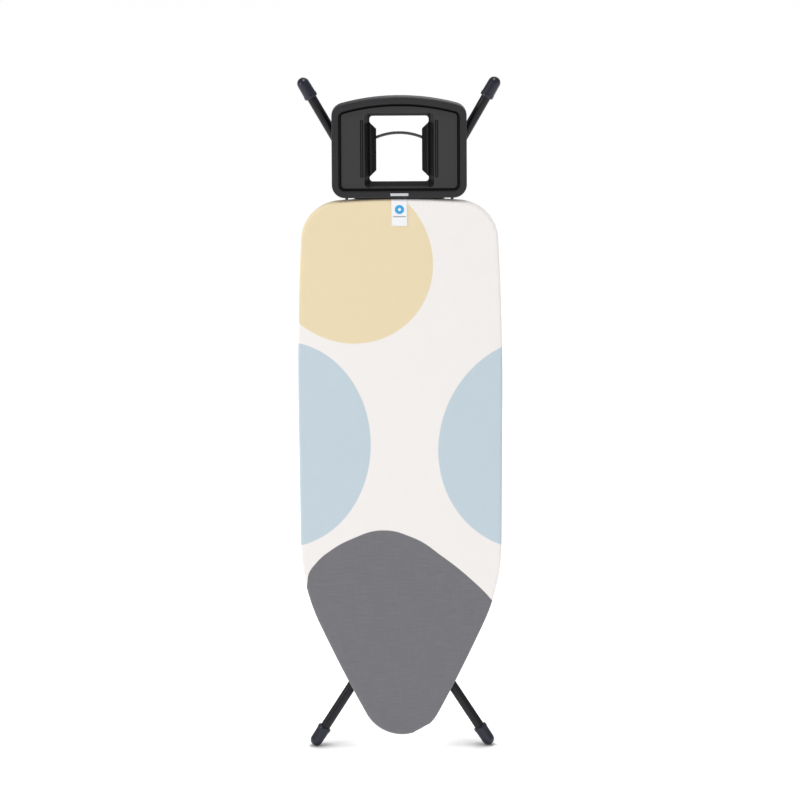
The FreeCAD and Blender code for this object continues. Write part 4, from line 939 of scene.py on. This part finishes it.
for z in RIB_HEIGHTS:
    for front_y, inner_x, outer_x in RIB_RUNS:
        add_box(bm, (inner_x, front_y, z), (outer_x, RIB_BACK, z + RIB_THICK))
for front_y, low_z, high_z in UPRIGHT_RUNS:
    add_box(bm, (UPRIGHT_X, front_y, low_z), (UPRIGHT_X + RIB_THICK, RIB_BACK, high_z))
for x, z in SCREW_SPOTS:
    post = bmesh.ops.create_cone(bm, cap_ends=True, segments=24, radius1=POST_RADIUS,
                                 radius2=POST_RADIUS, depth=REST_BACK - groove_back)["verts"]
    bmesh.ops.rotate(bm, verts=post, cent=(0, 0, 0), matrix=Matrix.Rotation(radians(90), 3, "X"))
    bmesh.ops.translate(bm, verts=post, vec=(x, (REST_BACK + groove_back) / 2, z))
bmesh.ops.bevel(bm, geom=bm.edges[:], affect="EDGES", offset=0.0003, segments=2, profile=0.5, material=-1)
twin = bmesh.ops.duplicate(bm, geom=bm.verts[:] + bm.edges[:] + bm.faces[:])["geom"]
bmesh.ops.scale(bm, verts=[v for v in twin if isinstance(v, bmesh.types.BMVert)], vec=(-1.0, 1.0, 1.0))
bmesh.ops.recalc_face_normals(bm, faces=bm.faces[:])
new_piece("iron_rest_ribs", bm, rest_plastic, "board", 32.0)


FLAT_ANGLE, HARD_ANGLE = radians(0.5), radians(28.0)


def eased_copy(name, node, material, body, width, segments=2):
    """A copy of a CAD node whose hard edges are eased, in place of the node."""
    bm = bmesh.new()
    bm.from_mesh(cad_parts[node].data)
    bmesh.ops.remove_doubles(bm, verts=bm.verts[:], dist=MERGE)
    bmesh.ops.dissolve_limit(bm, angle_limit=FLAT_ANGLE, verts=bm.verts[:], edges=bm.edges[:])
    hard = [e for e in bm.edges if len(e.link_faces) == 2 and e.calc_face_angle(0.0) > HARD_ANGLE]
    bmesh.ops.bevel(bm, geom=hard, affect="EDGES", offset=width, segments=segments, profile=0.5,
                    clamp_overlap=True, material=-1)
    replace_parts(new_piece(name, bm, material, body, 30.0), node)


rest_rubber = coated_finish("rest_rubber", srgb(20, 20, 23), 0.42, 1800.0, 0.00006, 0.16, 0.12,
                            Specular_IOR_Level=0.16)


def highlit_ridge_rubber(name, ridge_x, highlight_half, flank, ridge_highlight):
    """Dark rubber, with a painted highlight: a lighter tone along the raised line at ridge_x."""
    material, tree, shader = new_finish(name, Roughness=0.45, Specular_IOR_Level=0.14)
    coords = object_coords(tree)
    sideways = add_math(tree, "ABSOLUTE", axes_of(tree, coords)["X"])
    off_ridge = add_math(tree, "ABSOLUTE", add_math(tree, "SUBTRACT", sideways, ridge_x))
    painted_highlight_mask = add_ramp(tree, off_ridge, highlight_half * 0.6, highlight_half, 1.0, 0.0)
    colour = mix_colours(tree, painted_highlight_mask, flank, ridge_highlight)
    skin = use_group(tree, coat, {"Vector": coords, "Color": colour, "Grain": 1800.0, "Mottle": 0.16,
                                  "Roughness": 0.45, "Gloss Spread": 0.12})
    wear(tree, shader, skin, 0.00006)
    return material


# The lighter tone along each strip's and lining's raised line is a painted highlight.
LINING_RIDGE_X, STRIP_HIGHLIGHT_HALF, LINING_HIGHLIGHT_HALF = 0.0635, 0.0013, 0.0018
strip_rubber_highlit = highlit_ridge_rubber("strip_rubber_highlit", STRIP_X, STRIP_HIGHLIGHT_HALF, srgb(12, 12, 14),
                             srgb(50, 51, 55))
lining_rubber_highlit = highlit_ridge_rubber("lining_rubber_highlit", LINING_RIDGE_X, LINING_HIGHLIGHT_HALF, srgb(10, 10, 12),
                              srgb(48, 48, 53))
for side in ("left", "right"):
    eased_copy("rest_strip_ridge_" + side, "rest_strip_" + side, strip_rubber_highlit, "board",
               0.0007, segments=3)
    eased_copy("rest_lining_" + side, "rest_grip_" + side, lining_rubber_highlit, "board",
               0.0004)
eased_copy("rest_buffer_strip", "rest_buffer", rest_rubber, "board", 0.0006)

badge_enamel = coated_finish("badge_enamel", srgb(205, 207, 210), 0.25, 300.0, 0.00001, 0.05, 0.05)
dress(badge_enamel, "rest_badge")


# ---------------------------------------------------------------- legs and feet
# Round steel tube, bent once and splayed out to moulded plastic caps. The tube has a satin
# black powder coat; the caps are a bluish black plastic with a rounded nose and a collar.

leg_coat = coated_finish("leg_powder_coat", srgb(17, 17, 24), 0.27, 620.0, 0.00002, 0.14, 0.08,
                         Specular_IOR_Level=0.30)
dress(leg_coat, "outer_leg_tube_left", "outer_leg_tube_right", "inner_leg_tube_left",
      "inner_leg_tube_right", "outer_leg_spreader", "inner_leg_spreader")

cap_plastic = coated_finish("cap_plastic", srgb(28, 30, 44), 0.30, 1300.0, 0.00003, 0.12, 0.10,
                            Specular_IOR_Level=0.42)
LEG_Y = 0.0150
CAP_NOSE, CAP_WAIST, CAP_COLLAR, CAP_BORE = 0.0140, 0.0145, 0.0152, 0.01105
# The half section from the nose's end to the bore, as (radius, distance along the leg).
CAP_SECTION = [(CAP_WAIST, 0.0262), (CAP_WAIST + 0.0001, 0.0272), (CAP_COLLAR, 0.0282),
               (CAP_COLLAR + 0.0001, 0.0290), (CAP_COLLAR + 0.0001, 0.0346),
               (CAP_COLLAR - 0.0003, 0.0355), (CAP_COLLAR - 0.0011, 0.0360),
               (CAP_BORE + 0.0006, 0.0360), (CAP_BORE, 0.0356), (CAP_BORE, 0.0300)]
# Each foot as (across, up), its leg's splay in degrees, and 1 for a foot at the top.
OUTER_FOOT, INNER_FOOT = ((0.2130, 1.5325), 29.6, 1), ((0.1940, 0.0140), 32.4, -1)


def make_cap(name, node, body, side, foot, splay, up):
    """One foot cap: its half section turned round the leg's own line."""
    bm = bmesh.new()
    tip = bmesh.ops.create_vert(bm, co=(0.0, 0.0, -CAP_NOSE))["vert"][0]
    arc = bmesh.ops.spin(bm, geom=[tip], cent=(0, 0, 0), axis=(0, -1, 0), angle=pi / 2, steps=10)
    tip = [v for v in arc["geom_last"] if isinstance(v, bmesh.types.BMVert)][0]
    for radius, distance in CAP_SECTION:
        tip = bmesh.ops.extrude_vert_indiv(bm, verts=[tip])["verts"][0]
        tip.co = (radius, 0.0, distance)
    bmesh.ops.spin(bm, geom=bm.verts[:] + bm.edges[:], cent=(0, 0, 0), axis=(0, 0, 1), angle=2 * pi,
                   steps=40, use_merge=True)
    bmesh.ops.remove_doubles(bm, verts=bm.verts[:], dist=MERGE)
    away = Vector((-side * sin(radians(splay)), 0.0, -up * cos(radians(splay))))
    turn = Vector((0, 0, 1)).rotation_difference(away).to_matrix()
    bmesh.ops.rotate(bm, verts=bm.verts[:], cent=(0, 0, 0), matrix=turn)
    bmesh.ops.translate(bm, verts=bm.verts[:], vec=(side * foot[0], LEG_Y, foot[1]))
    bmesh.ops.recalc_face_normals(bm, faces=bm.faces[:])
    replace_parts(new_piece(name, bm, cap_plastic, body, 45.0), node)


for hand, side in (("left", -1), ("right", 1)):
    make_cap("upper_cap_" + hand, "outer_leg_foot_" + hand, "outer_legs", side, *OUTER_FOOT)
    make_cap("lower_cap_" + hand, "inner_leg_foot_" + hand, "inner_legs", side, *INNER_FOOT)

plug_plastic = coated_finish("plug_plastic", srgb(52, 53, 57), 0.48, 1200.0, 0.00005)
dress(plug_plastic, "outer_leg_plugs", "inner_leg_plugs")
nylon = coated_finish("natural_nylon", srgb(228, 226, 216), 0.42, 500.0, 0.00003, 0.07, 0.10,
                      Subsurface_Weight=0.15, Subsurface_Scale=0.004)
dress(nylon, "outer_leg_bushes", "inner_leg_bushes", "crossing_spacers", "bar_rollers")


# ---------------------------------------------------------------- steelwork and fasteners
# Black powder-coated beams, crossmembers, brackets and rack stand behind the mesh. Bolts,
# pins, rivets, the sliding bar and the lever's shaft are zinc-plated.

frame_coat = coated_finish("frame_powder_coat", srgb(60, 61, 65), 0.42, 560.0, 0.00007, 0.16, 0.14)
dress(frame_coat, "beam_left", "beam_right", "hinge_crossmember", "lower_rack_crossmember",
      "upper_rack_crossmember", "hinge_bracket_left", "hinge_bracket_right", "height_rack",
      "hoop_saddles", "lever_fin", "rest_hoop")

zinc, tree, shader = new_finish("zinc_plate", Metallic=1.0, Roughness=0.32)
coords = object_coords(tree)
spangle = add_node(tree, "TexNoise", {"Vector": coords, "Scale": 160.0, "Detail": 4.0, "Distortion": 0.8})
brushed_map = add_node(tree, "Mapping", {"Vector": coords, "Scale": (60.0, 2400.0, 2400.0)})
brushed = add_node(tree, "TexNoise", {"Vector": brushed_map.outputs[0], "Scale": 1.0, "Detail": 2.0})
colour = mix_colours(tree, spangle.outputs[0], srgb(186, 187, 184), srgb(212, 213, 214))
tree.links.new(colour, shader.inputs["Base Color"])
tree.links.new(add_math(tree, "ADD", 0.22, add_math(tree, "MULTIPLY", spangle.outputs[0], 0.22)),
               shader.inputs["Roughness"])
add_bump(tree, shader, brushed.outputs[0], 0.00001)
dress(zinc, "frame_rivets", "hinge_pins", "crossing_bolts", "crossing_nuts", "crossing_washers",
      "sliding_bar", "lever_shaft", "lever_spring", "rest_screws", "hook_pin")


# ---------------------------------------------------------------- lever, hook and clips
# Moulded pieces: the paddle squeezed to lower the board, the hook that holds the folded leg,
# and the clips that hold the rest to its hoop.

lever_plastic = coated_finish("lever_plastic", srgb(112, 113, 117), 0.45, 1400.0, 0.00004)
hook_plastic = coated_finish("hook_plastic", srgb(62, 63, 67), 0.45, 1400.0, 0.00004)
eased_copy("squeeze_paddle", "lever_paddle", lever_plastic, "height_lever", 0.0005)
eased_copy("leg_hook", "transport_hook", hook_plastic, "transport_hook", 0.0004)
eased_copy("hook_base", "hook_bracket", hook_plastic, "board", 0.0003)
eased_copy("hoop_clips", "rest_clips", hook_plastic, "board", 0.0003)
